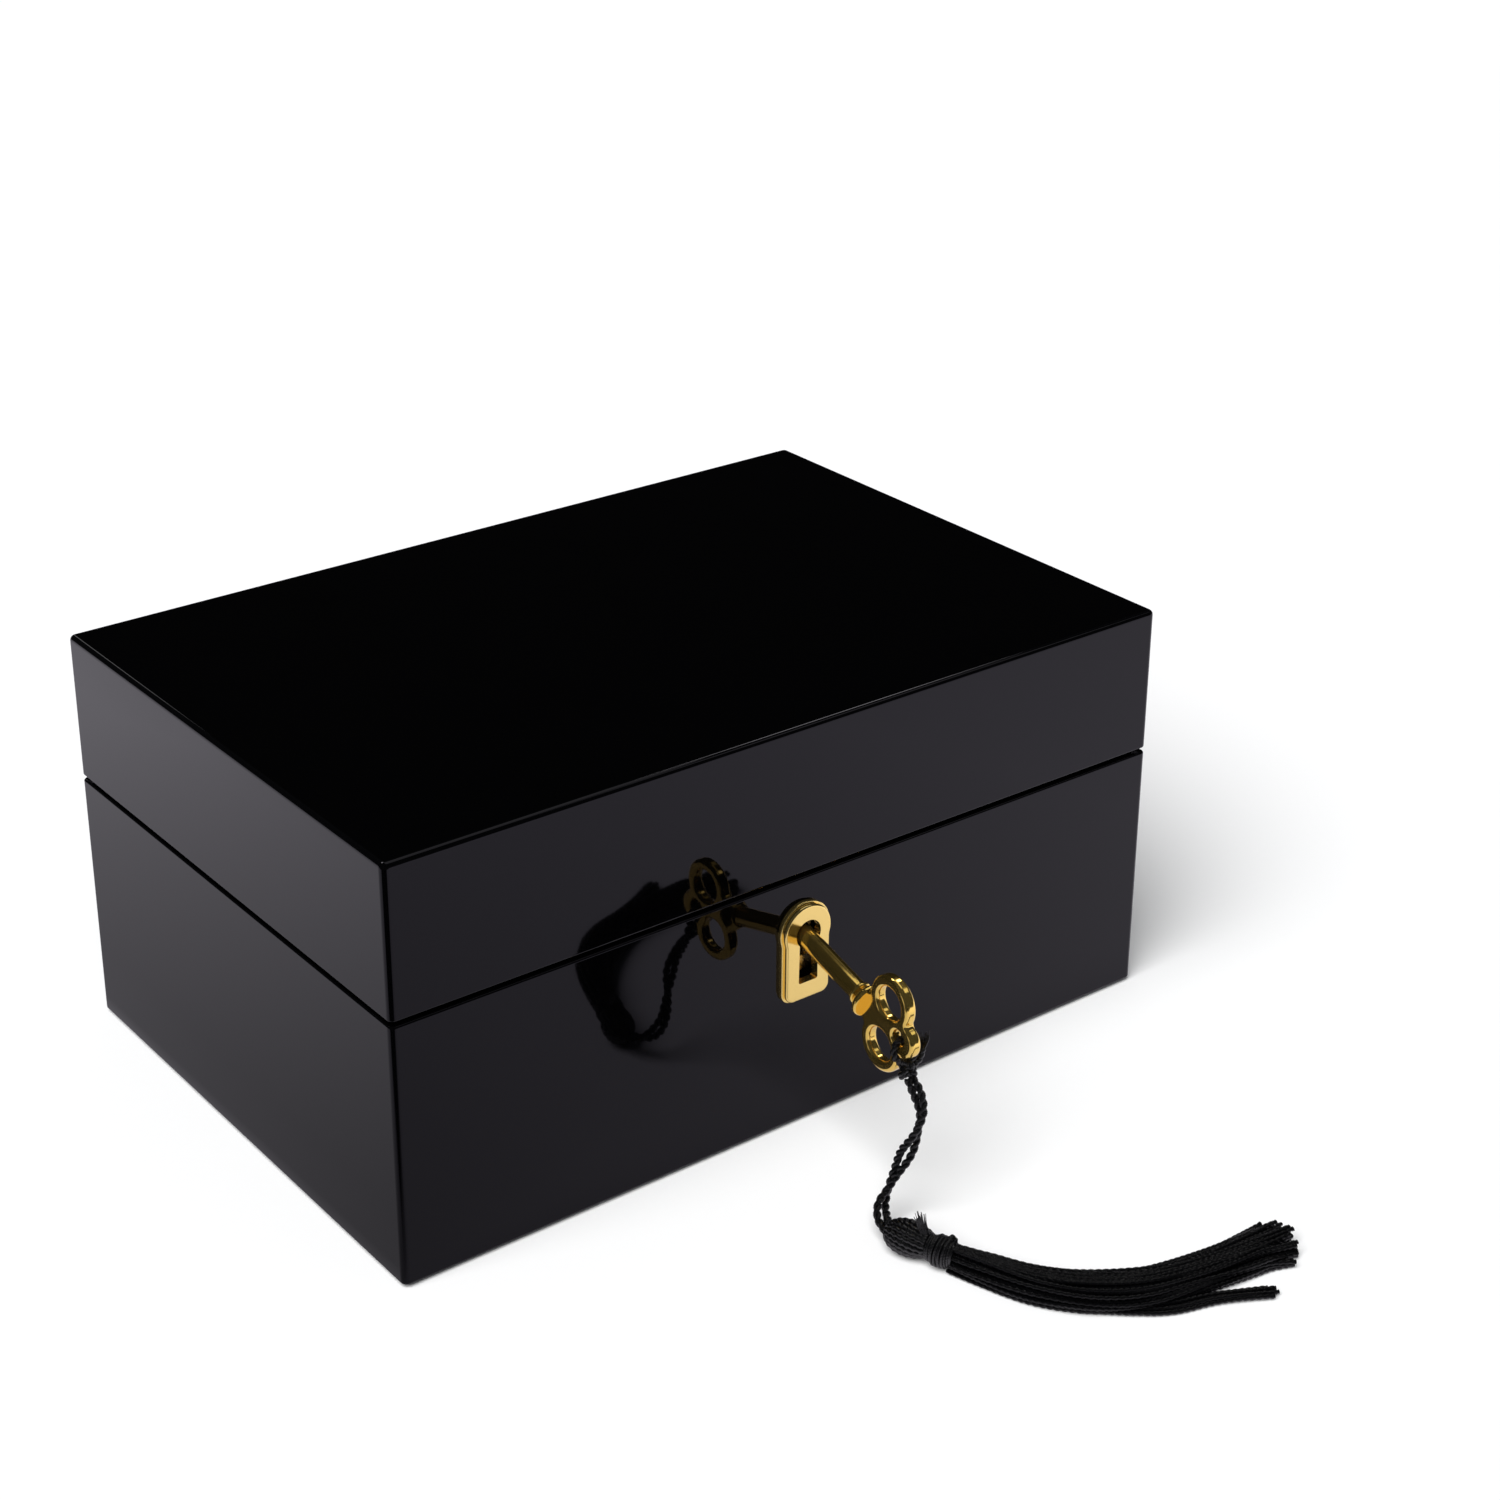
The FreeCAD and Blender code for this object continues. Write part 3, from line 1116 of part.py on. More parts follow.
def tassel_head():
    """The knotted head of the tassel, an egg lying on the table."""
    radius = HEAD_RADIUS
    mouth = HEAD_MOUTH_RADIUS
    neck = BINDING_END_RADIUS - TASSEL_SEAT
    bulge = HEAD_LENGTH * 0.5
    profile = [
        Part.LineSegment(Vec(0, 0, 0), Vec(mouth, 0, 0)).toShape(),
        Part.Arc(Vec(mouth, 0, 0), Vec(radius * 0.86, 0, bulge * 0.45), Vec(radius, 0, bulge)).toShape(),
        Part.Arc(Vec(radius, 0, bulge), Vec(radius * 0.93, 0, bulge * 1.55), Vec(neck, 0, HEAD_LENGTH)).toShape(),
        Part.LineSegment(Vec(neck, 0, HEAD_LENGTH), Vec(0, 0, HEAD_LENGTH)).toShape(),
        Part.LineSegment(Vec(0, 0, HEAD_LENGTH), Vec(0, 0, 0)).toShape(),
    ]
    head = Part.Face(Part.Wire(profile)).revolve(Vec(0, 0, 0), Vec(0, 0, 1), 360)
    return laid_on_table(head, 0.0, HEAD_RADIUS)


def laid_on_table(shape, start, height):
    """A turned form laid down in line with the tassel, its axis at the given height."""
    origin = CORD_ROUTE[-1].add(TASSEL_HEADING * start)
    origin.z = height + TABLE_CLEARANCE
    shape.Placement = FreeCAD.Placement(origin, FreeCAD.Rotation(Vec(0, 0, 1), TASSEL_HEADING))
    return shape


def tassel_binding():
    """The wound band that ties the tassel's neck."""
    end = BINDING_END_RADIUS
    profile = [
        Part.LineSegment(Vec(0, 0, 0), Vec(end, 0, 0)).toShape(),
        Part.Arc(Vec(end, 0, 0), Vec(BINDING_RADIUS, 0, BINDING_LENGTH / 2), Vec(end, 0, BINDING_LENGTH)).toShape(),
        Part.LineSegment(Vec(end, 0, BINDING_LENGTH), Vec(0, 0, BINDING_LENGTH)).toShape(),
        Part.LineSegment(Vec(0, 0, BINDING_LENGTH), Vec(0, 0, 0)).toShape(),
    ]
    band = Part.Face(Part.Wire(profile)).revolve(Vec(0, 0, 0), Vec(0, 0, 1), 360)
    return laid_on_table(band, HEAD_LENGTH, BINDING_AXIS_HEIGHT)


def bundle_section(place, heading, width, height):
    """A flat-bottomed oval across a bundle of threads that lies on the table."""
    side = Vec(0, 0, 1).cross(heading)
    lift = TABLE_CLEARANCE

    def at(across, up):
        return Vec(place.x + side.x * across * width, place.y + side.y * across * width, lift + up * height)

    return Part.Wire([
        Part.LineSegment(at(-0.38, 0), at(0.38, 0)).toShape(),
        Part.Arc(at(0.38, 0), at(0.5, 0.42), at(0.3, 0.87)).toShape(),
        Part.Arc(at(0.3, 0.87), at(0, 1), at(-0.3, 0.87)).toShape(),
        Part.Arc(at(-0.3, 0.87), at(-0.5, 0.42), at(-0.38, 0)).toShape(),
    ])


def bundle(stations):
    """A loft through the sections of one bundle of threads."""
    sections = []
    count = len(stations)
    for index, (place, width, height) in enumerate(stations):
        before = stations[max(index - 1, 0)][0]
        after = stations[min(index + 1, count - 1)][0]
        heading = after.sub(before)
        heading.normalize()
        sections.append(bundle_section(place, heading, width, height))
    return Part.makeLoft(sections, True, True)


def tassel_skirt():
    """The tassel's threads: one bundle, its fanned ends and a stray lock beside it."""
    neck = CORD_ROUTE[-1].add(TASSEL_HEADING * (HEAD_LENGTH + BINDING_LENGTH))
    first = (neck, SKIRT_START_WIDTH, SKIRT_START_HEIGHT)
    skirt = bundle((first,) + SKIRT_STATIONS)
    end, width, height = SKIRT_STATIONS[-1]
    heading = end.sub(SKIRT_STATIONS[-2][0])
    heading.normalize()
    side = Vec(0, 0, 1).cross(heading)
    count = len(LOCK_TIPS)
    for index, tip in enumerate(LOCK_TIPS):
        offset = ((count - 1) / 2 - index) * (width - LOCK_START_WIDTH) / count
        root = end.add(side * offset).sub(heading * LOCK_ROOT)
        lock = bundle(((root, LOCK_START_WIDTH, LOCK_HEIGHT), (tip, LOCK_END_WIDTH, LOCK_HEIGHT * 0.8)))
        skirt = skirt.fuse(lock)
    stray = bundle([(place, STRAY_WIDTH, STRAY_HEIGHT) for place in STRAY_LOCK])
    return skirt.fuse(stray).removeSplitter()


def all_nodes():
    """Every piece of the object by its name."""
    nodes = {}
    ring = base_ring()
    lining = base_lining_ring()
    tray = tray_ring()
    form = lid_form()
    lid_lining = lid_lining_ring()
    for side in SIDES:
        nodes["base_%s_wall" % side] = base_wall(ring, side)
        nodes["base_%s_lining" % side] = mitred(
            lining, side, INNER_HALF_LENGTH, INNER_HALF_DEPTH, LEDGE_WIDTH + 1, 0, BOX_HEIGHT)
        nodes["tray_%s_wall" % side] = mitred(
            tray, side, TRAY_HALF_LENGTH, TRAY_HALF_DEPTH, TRAY_WALL + 1, 0, BOX_HEIGHT)
        nodes["lid_%s_rail" % side] = lid_rail(form, side)
        nodes["lid_%s_lining" % side] = mitred(
            lid_lining, side, INNER_HALF_LENGTH, INNER_HALF_DEPTH, SKIN_THICKNESS + 1, 0, BOX_HEIGHT)
    nodes["base_bottom_panel"] = bottom_panel()
    nodes["base_felt"] = base_felt()
    nodes["base_floor_pad"] = floor_pad()
    nodes["lid_top_panel"] = lid_top(form)
    nodes["lid_bumpers"] = lid_bumpers()
    nodes["mirror_surround"] = mirror_surround()
    nodes["mirror_glass"] = mirror_glass()
    nodes["keyhole_escutcheon"] = keyhole_escutcheon()
    nodes["lock_case"] = lock_case()
    nodes["lock_cap"] = lock_cap()
    nodes["lock_hub"] = lock_hub()
    nodes["lock_bolt"] = lock_bolt()
    nodes["lock_screws"] = lock_screws()
    nodes["lock_strike"] = lock_strike()
    nodes["strike_screws"] = strike_screws()
    for name, sign in (("left", -1), ("right", 1)):
        nodes["hinge_%s_base_leaf" % name] = hinge_leaf(sign, "base")
        nodes["hinge_%s_lid_leaf" % name] = hinge_leaf(sign, "lid")
        nodes["hinge_%s_pin" % name] = hinge_pin(sign)
        nodes["tray_%s_ribbon" % name] = ribbon_pull(sign)
    nodes["hinge_base_screws"] = hinge_screws("base")
    nodes["hinge_lid_screws"] = hinge_screws("lid")
    nodes["tray_floor"] = tray_floor()
    nodes["tray_bay_wall"] = tray_bay_wall()
    nodes["tray_long_divider"] = tray_long_divider()
    nodes["tray_cross_divider"] = tray_cross_divider()
    nodes["tray_pads"] = tray_pads()
    nodes["ring_rolls"] = ring_rolls()
    nodes["key"] = key()
    nodes["cord_knot"] = cord_knot()
    nodes["tassel_cord"] = tassel_cord()
    nodes["tassel_head"] = tassel_head()
    nodes["tassel_binding"] = tassel_binding()
    nodes["tassel_skirt"] = tassel_skirt()
    return nodes


os.makedirs("parts", exist_ok=True)
for name, shape in all_nodes().items():
    if not shape.isValid() or not shape.Solids:
        print("check the solid of", name)
    shape.exportStep("parts/%s.step" % name)
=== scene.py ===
import logging
import math
import random
from dataclasses import dataclass, field
from enum import Enum
from typing import Iterable, Sequence

import bpy
import numpy as np
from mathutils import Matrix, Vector


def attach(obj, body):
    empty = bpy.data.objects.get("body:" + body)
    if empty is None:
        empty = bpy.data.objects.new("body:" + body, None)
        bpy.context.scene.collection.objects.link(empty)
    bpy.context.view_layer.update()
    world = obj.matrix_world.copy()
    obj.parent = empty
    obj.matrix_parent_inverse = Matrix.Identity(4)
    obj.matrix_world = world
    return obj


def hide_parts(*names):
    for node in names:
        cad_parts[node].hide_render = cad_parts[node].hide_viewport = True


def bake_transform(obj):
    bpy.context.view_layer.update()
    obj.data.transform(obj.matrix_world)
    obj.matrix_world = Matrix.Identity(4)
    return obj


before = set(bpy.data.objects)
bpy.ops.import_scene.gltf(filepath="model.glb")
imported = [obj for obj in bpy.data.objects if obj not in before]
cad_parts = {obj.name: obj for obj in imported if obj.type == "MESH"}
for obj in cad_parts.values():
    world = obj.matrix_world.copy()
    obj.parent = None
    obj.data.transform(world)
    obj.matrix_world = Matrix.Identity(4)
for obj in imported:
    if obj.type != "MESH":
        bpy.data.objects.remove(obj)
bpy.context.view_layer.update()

MM = 0.001
TURN = 2 * math.pi
LOG = logging.getLogger("jewellery_box")

Point = tuple[float, float, float]
Colour = tuple[float, float, float]
Socket = bpy.types.NodeSocket
Inputs = dict[str | int, object]

SIDES = ("front", "back", "left", "right")

# Route of the doubled cord from the knot to the tassel, in millimetres.
CORD_ROUTE: tuple[Point, ...] = (
    (-1.9, -124.4, 36.4),
    (-1.3, -129.4, 31.2),
    (-4.5, -130.8, 25.0),
    (-7.2, -128.4, 16.6),
    (-10.0, -126.9, 9.4),
    (-14.8, -129.2, 5.2),
    (-17.3, -135.1, 4.7),
)
TASSEL_HEADING: Point = (0.36, -0.933, 0.0)
HEAD_LENGTH = 11.5
BINDING_LENGTH = 7.0

# How far along the head each place is, as a share, and how far out it stands there, in millimetres.
HEAD_OUTLINE = (
    (0.0, 1.1), (0.05, 2.3), (0.14, 3.35), (0.3, 4.2), (0.5, 4.55), (0.72, 4.35), (0.9, 3.7), (1.04, 3.2),
)

# Middle line of the skirt on the table, with its width and height there, in millimetres.
SKIRT_STATIONS: tuple[tuple[Point, float, float], ...] = (
    ((-7.2, -160.6, 0.0), 9.6, 7.3),
    ((-2.0, -170.8, 0.0), 12.8, 7.1),
    ((5.8, -179.6, 0.0), 14.6, 6.8),
    ((16.6, -186.4, 0.0), 14.2, 6.4),
    ((28.6, -189.6, 0.0), 13.2, 5.9),
    ((41.0, -191.4, 0.0), 14.4, 5.2),
    ((50.0, -192.2, 0.0), 16.0, 4.6),
)
# Width and height of the skirt where it leaves the binding.
SKIRT_NECK = (6.6, 7.2)
# How far up the skirt each layer of yarns is, as a share, and how many yarns it has.
SKIRT_LAYERS = ((0.0, 10), (0.25, 11), (0.5, 11), (0.78, 10), (1.0, 8), (1.0, 5))
LOCK_TIPS: tuple[Point, ...] = (
    (62.0, -183.8, 0.0),
    (63.2, -188.4, 0.0),
    (62.4, -193.4, 0.0),
    (59.6, -198.0, 0.0),
    (55.0, -201.4, 0.0),
)
# The lock that lies apart, from inside the skirt to its tip.
STRAY_LOCK: tuple[Point, ...] = (
    (3.0, -181.6, 0.0),
    (12.0, -189.4, 0.0),
    (20.0, -194.8, 0.0),
    (31.2, -198.7, 0.0),
    (44.6, -205.6, 0.0),
)

# Section of a ribbon loop, up one side, over the top and down the other, across and up, in millimetres.
RIBBON_LOOP = (
    (1.40, 60.6), (1.30, 64.5), (1.45, 68.5), (1.55, 70.6), (0.95, 71.9), (0.0, 72.25), (-0.95, 71.9),
    (-1.55, 70.6), (-1.45, 68.5), (-1.30, 64.5), (-1.40, 60.6), (-0.9, 59.6), (0.0, 59.25), (0.9, 59.6),
)


class Weave(Enum):
    """Kinds of cloth surface in and under the box."""

    SUEDE = "suede"
    FELT = "felt"
    RIBBON = "ribbon"


class Graph:
    """A short way to write a material's node tree."""

    def __init__(self, name: str) -> None:
        """Start an empty node material.

        Args:
            name: name of the material.
        """
        self.material = bpy.data.materials.new(name)
        self.material.use_nodes = True
        self.tree = self.material.node_tree
        self.tree.nodes.clear()
        self.output = self.tree.nodes.new("ShaderNodeOutputMaterial")

    def node(self, kind: str, inputs: Inputs | None = None, **settings: object) -> bpy.types.Node:
        """Add a node, set its settings, and set or link its inputs.

        Args:
            kind: Blender's name of the node type.
            inputs: socket name or number to a value or to an output socket.
            settings: attributes of the node.

        Returns:
            The new node.
        """
        made = self.tree.nodes.new(kind)
        for name, value in settings.items():
            setattr(made, name, value)
        for name, value in (inputs or {}).items():
            socket = made.inputs[name]
            if isinstance(value, Socket):
                self.tree.links.new(value, socket)
            else:
                socket.default_value = value
        return made

    def surface(self, socket: Socket) -> None:
        """Link a shader to the material's surface."""
        self.tree.links.new(socket, self.output.inputs["Surface"])

    def place(self, scale: Point = (1.0, 1.0, 1.0), kind: str = "Object") -> Socket:
        """The point's own place on the object, scaled along each axis.

        Args:
            scale: the scale along each axis.
            kind: which coordinates: Object for the object's own, UV for those along a thread.

        Returns:
            The scaled place.
        """
        coordinates = self.node("ShaderNodeTexCoord")
        mapping = self.node("ShaderNodeMapping", {"Vector": coordinates.outputs[kind], "Scale": scale})
        return mapping.outputs["Vector"]

    def noise(self, where: Socket, scale: float, detail: float = 3.0) -> Socket:
        """Noise from 0 to 1 that changes over about 1/scale of its coordinates' unit."""
        made = self.node("ShaderNodeTexNoise", {"Vector": where, "Scale": scale, "Detail": detail})
        return made.outputs["Fac"]

    def ranged(self, socket: Socket, low: float, high: float, start: float = 0.0, end: float = 1.0) -> Socket:
        """A value from start to end carried to the range low to high, and held at its ends.

        Args:
            socket: the value.
            low: what start becomes.
            high: what end becomes.
            start: first value of the range it comes from.
            end: last value of the range it comes from.

        Returns:
            The carried value.
        """
        made = self.node("ShaderNodeMapRange", {
            "Value": socket, "From Min": start, "From Max": end, "To Min": low, "To Max": high,
        })
        return made.outputs["Result"]

    def worked(self, kind: str, first: Socket, second: Socket) -> Socket:
        """Two values worked into one by an operation of the Math node."""
        return self.node("ShaderNodeMath", {0: first, 1: second}, operation=kind).outputs[0]

    def bump(self, height: Socket, depth: float, strength: float = 1.0) -> Socket:
        """A bumped normal from a height map, its depth in metres."""
        made = self.node("ShaderNodeBump", {"Height": height, "Distance": depth, "Strength": strength})
        return made.outputs["Normal"]

    def mixed(self, share: Socket, low: object, high: object) -> Socket:
        """A colour between two colours or sockets, by a share from 0 to 1."""
        return self.node("ShaderNodeMix", {0: share, 6: low, 7: high}, data_type="RGBA").outputs[2]

    def shades(self, share: Socket, colour: Colour, low: float, high: float = 1.0) -> Socket:
        """A colour made darker or lighter, by a share from 0 to 1."""
        return self.mixed(share, (*(low * c for c in colour), 1.0), (*(high * c for c in colour), 1.0))


@dataclass(frozen=True)
class Finish:
    """A finish of some of the box's pieces."""

    name: str

    def material(self) -> bpy.types.Material:
        """The finish as a material, made once.

        Returns:
            The material.
        """
        full_name = f"{self.name}_finish"
        known = bpy.data.materials.get(full_name)
        if known:
            return known
        graph = Graph(full_name)
        shader = graph.node("ShaderNodeBsdfPrincipled", self.sockets(graph))
        graph.surface(shader.outputs["BSDF"])
        return graph.material

    def sockets(self, graph: Graph) -> Inputs:
        """The shader's inputs, built in the material's graph."""
        raise NotImplementedError


@dataclass(frozen=True)
class Lacquer(Finish):
    """Black piano lacquer, with a faint long ripple and a few polishing hairlines."""

    colour: Colour = (0.0004, 0.0004, 0.0005)
    ior: float = 1.30
    specular_tint: Colour = (0.90, 0.87, 1.0)
    smoothest: float = 0.018
    roughest: float = 0.04
    ripple_depth: float = 0.04 * MM
    hair_depth: float = 0.0008 * MM

    def sockets(self, graph: Graph) -> Inputs:
        """The shader's inputs.

        Args:
            graph: the material's graph.

        Returns:
            Socket names to values or sockets.
        """
        where = graph.place()
        haze = graph.noise(where, 60.0, 4.0)
        hairs = graph.noise(graph.place((900.0, 60.0, 500.0)), 1.0, 2.0)
        ripple = graph.bump(graph.noise(where, 22.0, 1.0), self.ripple_depth, 0.35)
        fine = graph.node("ShaderNodeBump", {"Height": hairs, "Distance": self.hair_depth, "Normal": ripple})
        return {
            "Base Color": graph.shades(haze, self.colour, 1.0, 1.5),
            "Roughness": graph.ranged(haze, self.smoothest, self.roughest),
            "IOR": self.ior,
            "Specular Tint": (*self.specular_tint, 1.0),
            "Normal": fine.outputs["Normal"],
        }


@dataclass(frozen=True)
class Metal(Finish):
    """A bare or plated metal, polished or brushed along one axis."""

    colour: Colour
    roughness: float
    brushed: bool = False
    metallic: float = 1.0
    grain: Point = (40.0, 2500.0, 2500.0)
    brush_depth: float = 0.0015 * MM
    polish_depth: float = 0.012 * MM

    def sockets(self, graph: Graph) -> Inputs:
        """The shader's inputs.

        Args:
            graph: the material's graph.

        Returns:
            Socket names to values or sockets.
        """
        where = graph.place()
        stain = graph.noise(where, 180.0, 3.0)
        smear = graph.noise(where, 700.0, 2.0)
        spread = 0.5 if self.brushed else 0.35
        if self.brushed:
            normal = graph.bump(graph.noise(graph.place(self.grain), 1.0, 2.0), self.brush_depth)
        else:
            normal = graph.bump(graph.noise(where, 420.0, 1.0), self.polish_depth)
        return {
            "Base Color": graph.shades(stain, self.colour, 0.93),
            "Metallic": self.metallic,
            "Roughness": graph.ranged(smear, self.roughness * (1 - spread), self.roughness * (1 + spread)),
            "Normal": normal,
        }


@dataclass(frozen=True)
class Cloth(Finish):
    """Suede-like flock, felt or satin ribbon."""

    colour: Colour
    weave: Weave
    sheen: float = 0.35

    def sockets(self, graph: Graph) -> Inputs:
        """The shader's inputs.

        Args:
            graph: the material's graph.

        Returns:
            Socket names to values or sockets.
        """
        where = graph.place()
        mottle = graph.noise(where, 55.0, 4.0)
        if self.weave is Weave.RIBBON:
            wave = graph.node("ShaderNodeTexWave", {"Vector": where, "Scale": 700.0, "Distortion": 0.4})
            height, depth, roughness = wave.outputs["Fac"], 0.06 * MM, 0.42
        elif self.weave is Weave.FELT:
            height, depth, roughness = graph.noise(where, 900.0, 6.0), 0.35 * MM, 0.95
        else:
            height, depth, roughness = graph.noise(where, 2600.0, 5.0), 0.12 * MM, 0.88
        return {
            "Base Color": graph.shades(mottle, self.colour, 0.82, 1.12),
            "Roughness": roughness,
            "Sheen Weight": self.sheen,
            "Sheen Roughness": 0.45,
            "Normal": graph.bump(height, depth),
        }


@dataclass(frozen=True)
class Silvering(Finish):
    """The mirror's silver behind clear glass."""

    colour: Colour = (0.9, 0.93, 0.92)

    def sockets(self, graph: Graph) -> Inputs:
        """The shader's inputs.

        Args:
            graph: the material's graph.

        Returns:
            Socket names to values or sockets.
        """
        film = graph.noise(graph.place(), 30.0, 3.0)
        return {
            "Base Color": graph.shades(film, self.colour, 0.985),
            "Metallic": 1.0,
            "Roughness": graph.ranged(film, 0.004, 0.012),
        }


@dataclass(frozen=True)
class Rubber(Finish):
    """Soft dark pads."""

    colour: Colour = (0.03, 0.03, 0.03)

    def sockets(self, graph: Graph) -> Inputs:
        """The shader's inputs.

        Args:
            graph: the material's graph.

        Returns:
            Socket names to values or sockets.
        """
        grain = graph.noise(graph.place(), 1500.0, 3.0)
        return {
            "Base Color": graph.shades(grain, self.colour, 1.0, 1.4),
            "Roughness": 0.6,
            "Normal": graph.bump(grain, 0.05 * MM),
        }


@dataclass(frozen=True)
class SilkThread(Finish):
    """Black twisted silky thread, its fibres laid along each strand."""

    colour: Colour = (0.0009, 0.0009, 0.0011)
    roughness: float = 0.19
    gloss: float = 0.26

    def sockets(self, graph: Graph) -> Inputs:
        """The shader's inputs.

        Args:
            graph: the material's graph.

        Returns:
            Socket names to values or sockets.
        """
        fibre = graph.noise(graph.place((5.0, 0.6, 1.0), "UV"), 3.0, 3.0)
        tone = graph.noise(graph.place(), 240.0, 2.0)
        return {
            "Base Color": graph.shades(tone, self.colour, 0.6, 1.7),
            "Roughness": graph.ranged(fibre, 2.4 * self.roughness, 0.7 * self.roughness, 0.38, 0.64),
            "Specular IOR Level": self.gloss,
            "Normal": graph.bump(fibre, 0.03 * MM),
        }


@dataclass(frozen=True)
class WhiteTable(Finish):
    """The white table, whose colour in gloss has painted shade: dimmer close to the box's near corner and
    beside its left side, and dark beyond the near end.
    """

    colour: Colour = (0.92, 0.92, 0.92)
    gloss_colour: Colour = (0.96, 0.92, 1.0)
    # Colour of the painted shade in the table's reflection.
    painted_shade_colour: Colour = (0.012, 0.012, 0.013)
    near_corner: Point = (-0.13, -0.10, 0.0)
    toward_end: Point = (-0.6, -0.8, 0.0)

    def sockets(self, graph: Graph) -> Inputs:
        """The shader's inputs.

        Args:
            graph: the material's graph.

        Returns:
            Socket names to values or sockets.
        """
        where = graph.place()
        seen = graph.shades(graph.noise(where, 500.0, 2.0), self.colour, 0.995, 1.005)
        path = graph.node("ShaderNodeLightPath")
        return {
            "Base Color": graph.mixed(path.outputs["Is Glossy Ray"], seen, self.reflected_with_painted_shade(graph, where)),
            "Roughness": 0.9,
            "Specular IOR Level": 0.0,
        }

    def reflected_with_painted_shade(self, graph: Graph, where: Socket) -> Socket:
        """The table's colour in the box's gloss, with painted shade near the box and beyond its near end.

        Args:
            graph: the material's graph.
            where: the point on the table.

        Returns:
            The colour.
        """
        axes = graph.node("ShaderNodeSeparateXYZ", {"Vector": where}).outputs
        away = graph.node("ShaderNodeVectorMath", {0: where, 1: self.near_corner}, operation="DISTANCE")
        toward = graph.node("ShaderNodeVectorMath", {0: where, 1: self.toward_end}, operation="DOT_PRODUCT")
        # Painted shade in the reflected table: darker close to the box's near corner, in a strip beside its
        # left side, black in the quadrant off that corner, and dark beyond the near end.
        level = graph.ranged(away.outputs["Value"], 0.46, 1.05, 0.0, 0.36)
        end = graph.ranged(toward.outputs["Value"], 1.0, 0.07, 0.30, 0.36)
        shade_beside = graph.worked("MAXIMUM", graph.ranged(axes["X"], 0.62, 1.0, -0.135, -0.218),
                              graph.ranged(axes["X"], 0.0, 1.0, -0.130, -0.120))
        shade_off_corner = graph.worked("MAXIMUM", graph.ranged(axes["X"], 0.0, 1.0, -0.150, -0.125),
                              graph.ranged(axes["Y"], 0.0, 1.0, -0.110, -0.085))
        lit = level
        for share in (shade_beside, shade_off_corner, end):
            lit = graph.worked("MULTIPLY", lit, share)
        return graph.mixed(lit, (*self.painted_shade_colour, 1.0), (*self.gloss_colour, 1.0))


BLACK_LACQUER = Lacquer("black_lacquer")
BLACK_FELT = Cloth("black_felt", (0.012, 0.012, 0.013), Weave.FELT, 0.15)
GREY_SUEDE = Cloth("grey_suede", (0.26, 0.25, 0.24), Weave.SUEDE)
GREY_RIBBON = Cloth("grey_ribbon", (0.22, 0.21, 0.20), Weave.RIBBON, 0.5)
POLISHED_BRASS = Metal("polished_brass", (1.0, 0.74, 0.25), 0.12, metallic=0.98)
KEY_GILT = Metal("key_gilt", (1.0, 0.69, 0.17), 0.12, metallic=0.98)
LOCK_BRASS = Metal("lock_brass", (0.78, 0.57, 0.27), 0.26, True)
LOCK_STEEL = Metal("lock_steel", (0.56, 0.56, 0.57), 0.28, True)
SCREW_BRASS = Metal("screw_brass", (0.80, 0.60, 0.30), 0.2)
MIRROR_SILVER = Silvering("mirror_silver")
PAD_RUBBER = Rubber("pad_rubber")
BLACK_SILK = SilkThread("black_silk")
BOUND_SILK = SilkThread("bound_silk", (0.0014, 0.0014, 0.0016), 0.20, 0.75)
WHITE_TABLE = WhiteTable("white_table")


def dress(finish: Finish, names: Iterable[str]) -> None:
    """Give named CAD nodes a finish.

    Args:
        finish: the finish to give.
        names: the nodes that get it.
    """
    for name in names:
        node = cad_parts[name]
        if not node.material_slots:
            node.data.materials.append(finish.material())
        for slot in node.material_slots:
            slot.material = finish.material()
        LOG.info("dressed %s in %s", name, finish.name)


def metres(points: Iterable[Point]) -> np.ndarray:
    """Points given in millimetres, in metres."""
    return np.array(list(points), float) * MM


def run_length(line: np.ndarray) -> np.ndarray:
    """How far along the line each of its points is."""
    steps = np.linalg.norm(np.diff(line, axis=0), axis=1)
    return np.concatenate([[0.0], np.cumsum(steps)])


def even(line: np.ndarray, count: int) -> np.ndarray:
    """The same line with its points evenly spaced.

    Args:
        line: the points of the line.
        count: how many points to return.

    Returns:
        The line's new points.
    """
    travelled = run_length(line)
    wanted = np.linspace(0, travelled[-1], count)
    return np.stack([np.interp(wanted, travelled, line[:, axis]) for axis in range(3)], axis=1)


def smooth_line(points: np.ndarray, count: int) -> np.ndarray:
    """A smooth line through points.

    Args:
        points: the points it passes through.
        count: how many points to return, evenly spaced along it.

    Returns:
        The line's points.
    """
    held = np.vstack([2 * points[0] - points[1], points, 2 * points[-1] - points[-2]])
    dense = []
    for index in range(1, len(held) - 2):
        a, b, c, d = held[index - 1:index + 3]
        t = np.linspace(0, 1, 24, endpoint=False)[:, None]
        dense.append(0.5 * (2 * b + (c - a) * t + (2 * a - 5 * b + 4 * c - d) * t ** 2
                            + (3 * b - a - 3 * c + d) * t ** 3))
    dense.append(points[-1:])
    return even(np.vstack(dense), count)


def frames(line: np.ndarray) -> tuple[np.ndarray, np.ndarray]:
    """Directions across a line, turned as little as possible on the way.

    Args:
        line: the points of the line.

    Returns:
        Two unit directions across the line at each point, square to each other.
    """
    tangents = np.gradient(line, axis=0)
    tangents /= np.linalg.norm(tangents, axis=1)[:, None] + 1e-12
    across = np.cross(tangents[0], (0.21, 0.13, 0.97))
    turned = []
    for tangent in tangents:
        across = across - tangent * across.dot(tangent)
        across = across / np.linalg.norm(across)
        turned.append(across)
    first = np.array(turned)
    return first, np.cross(tangents, first)


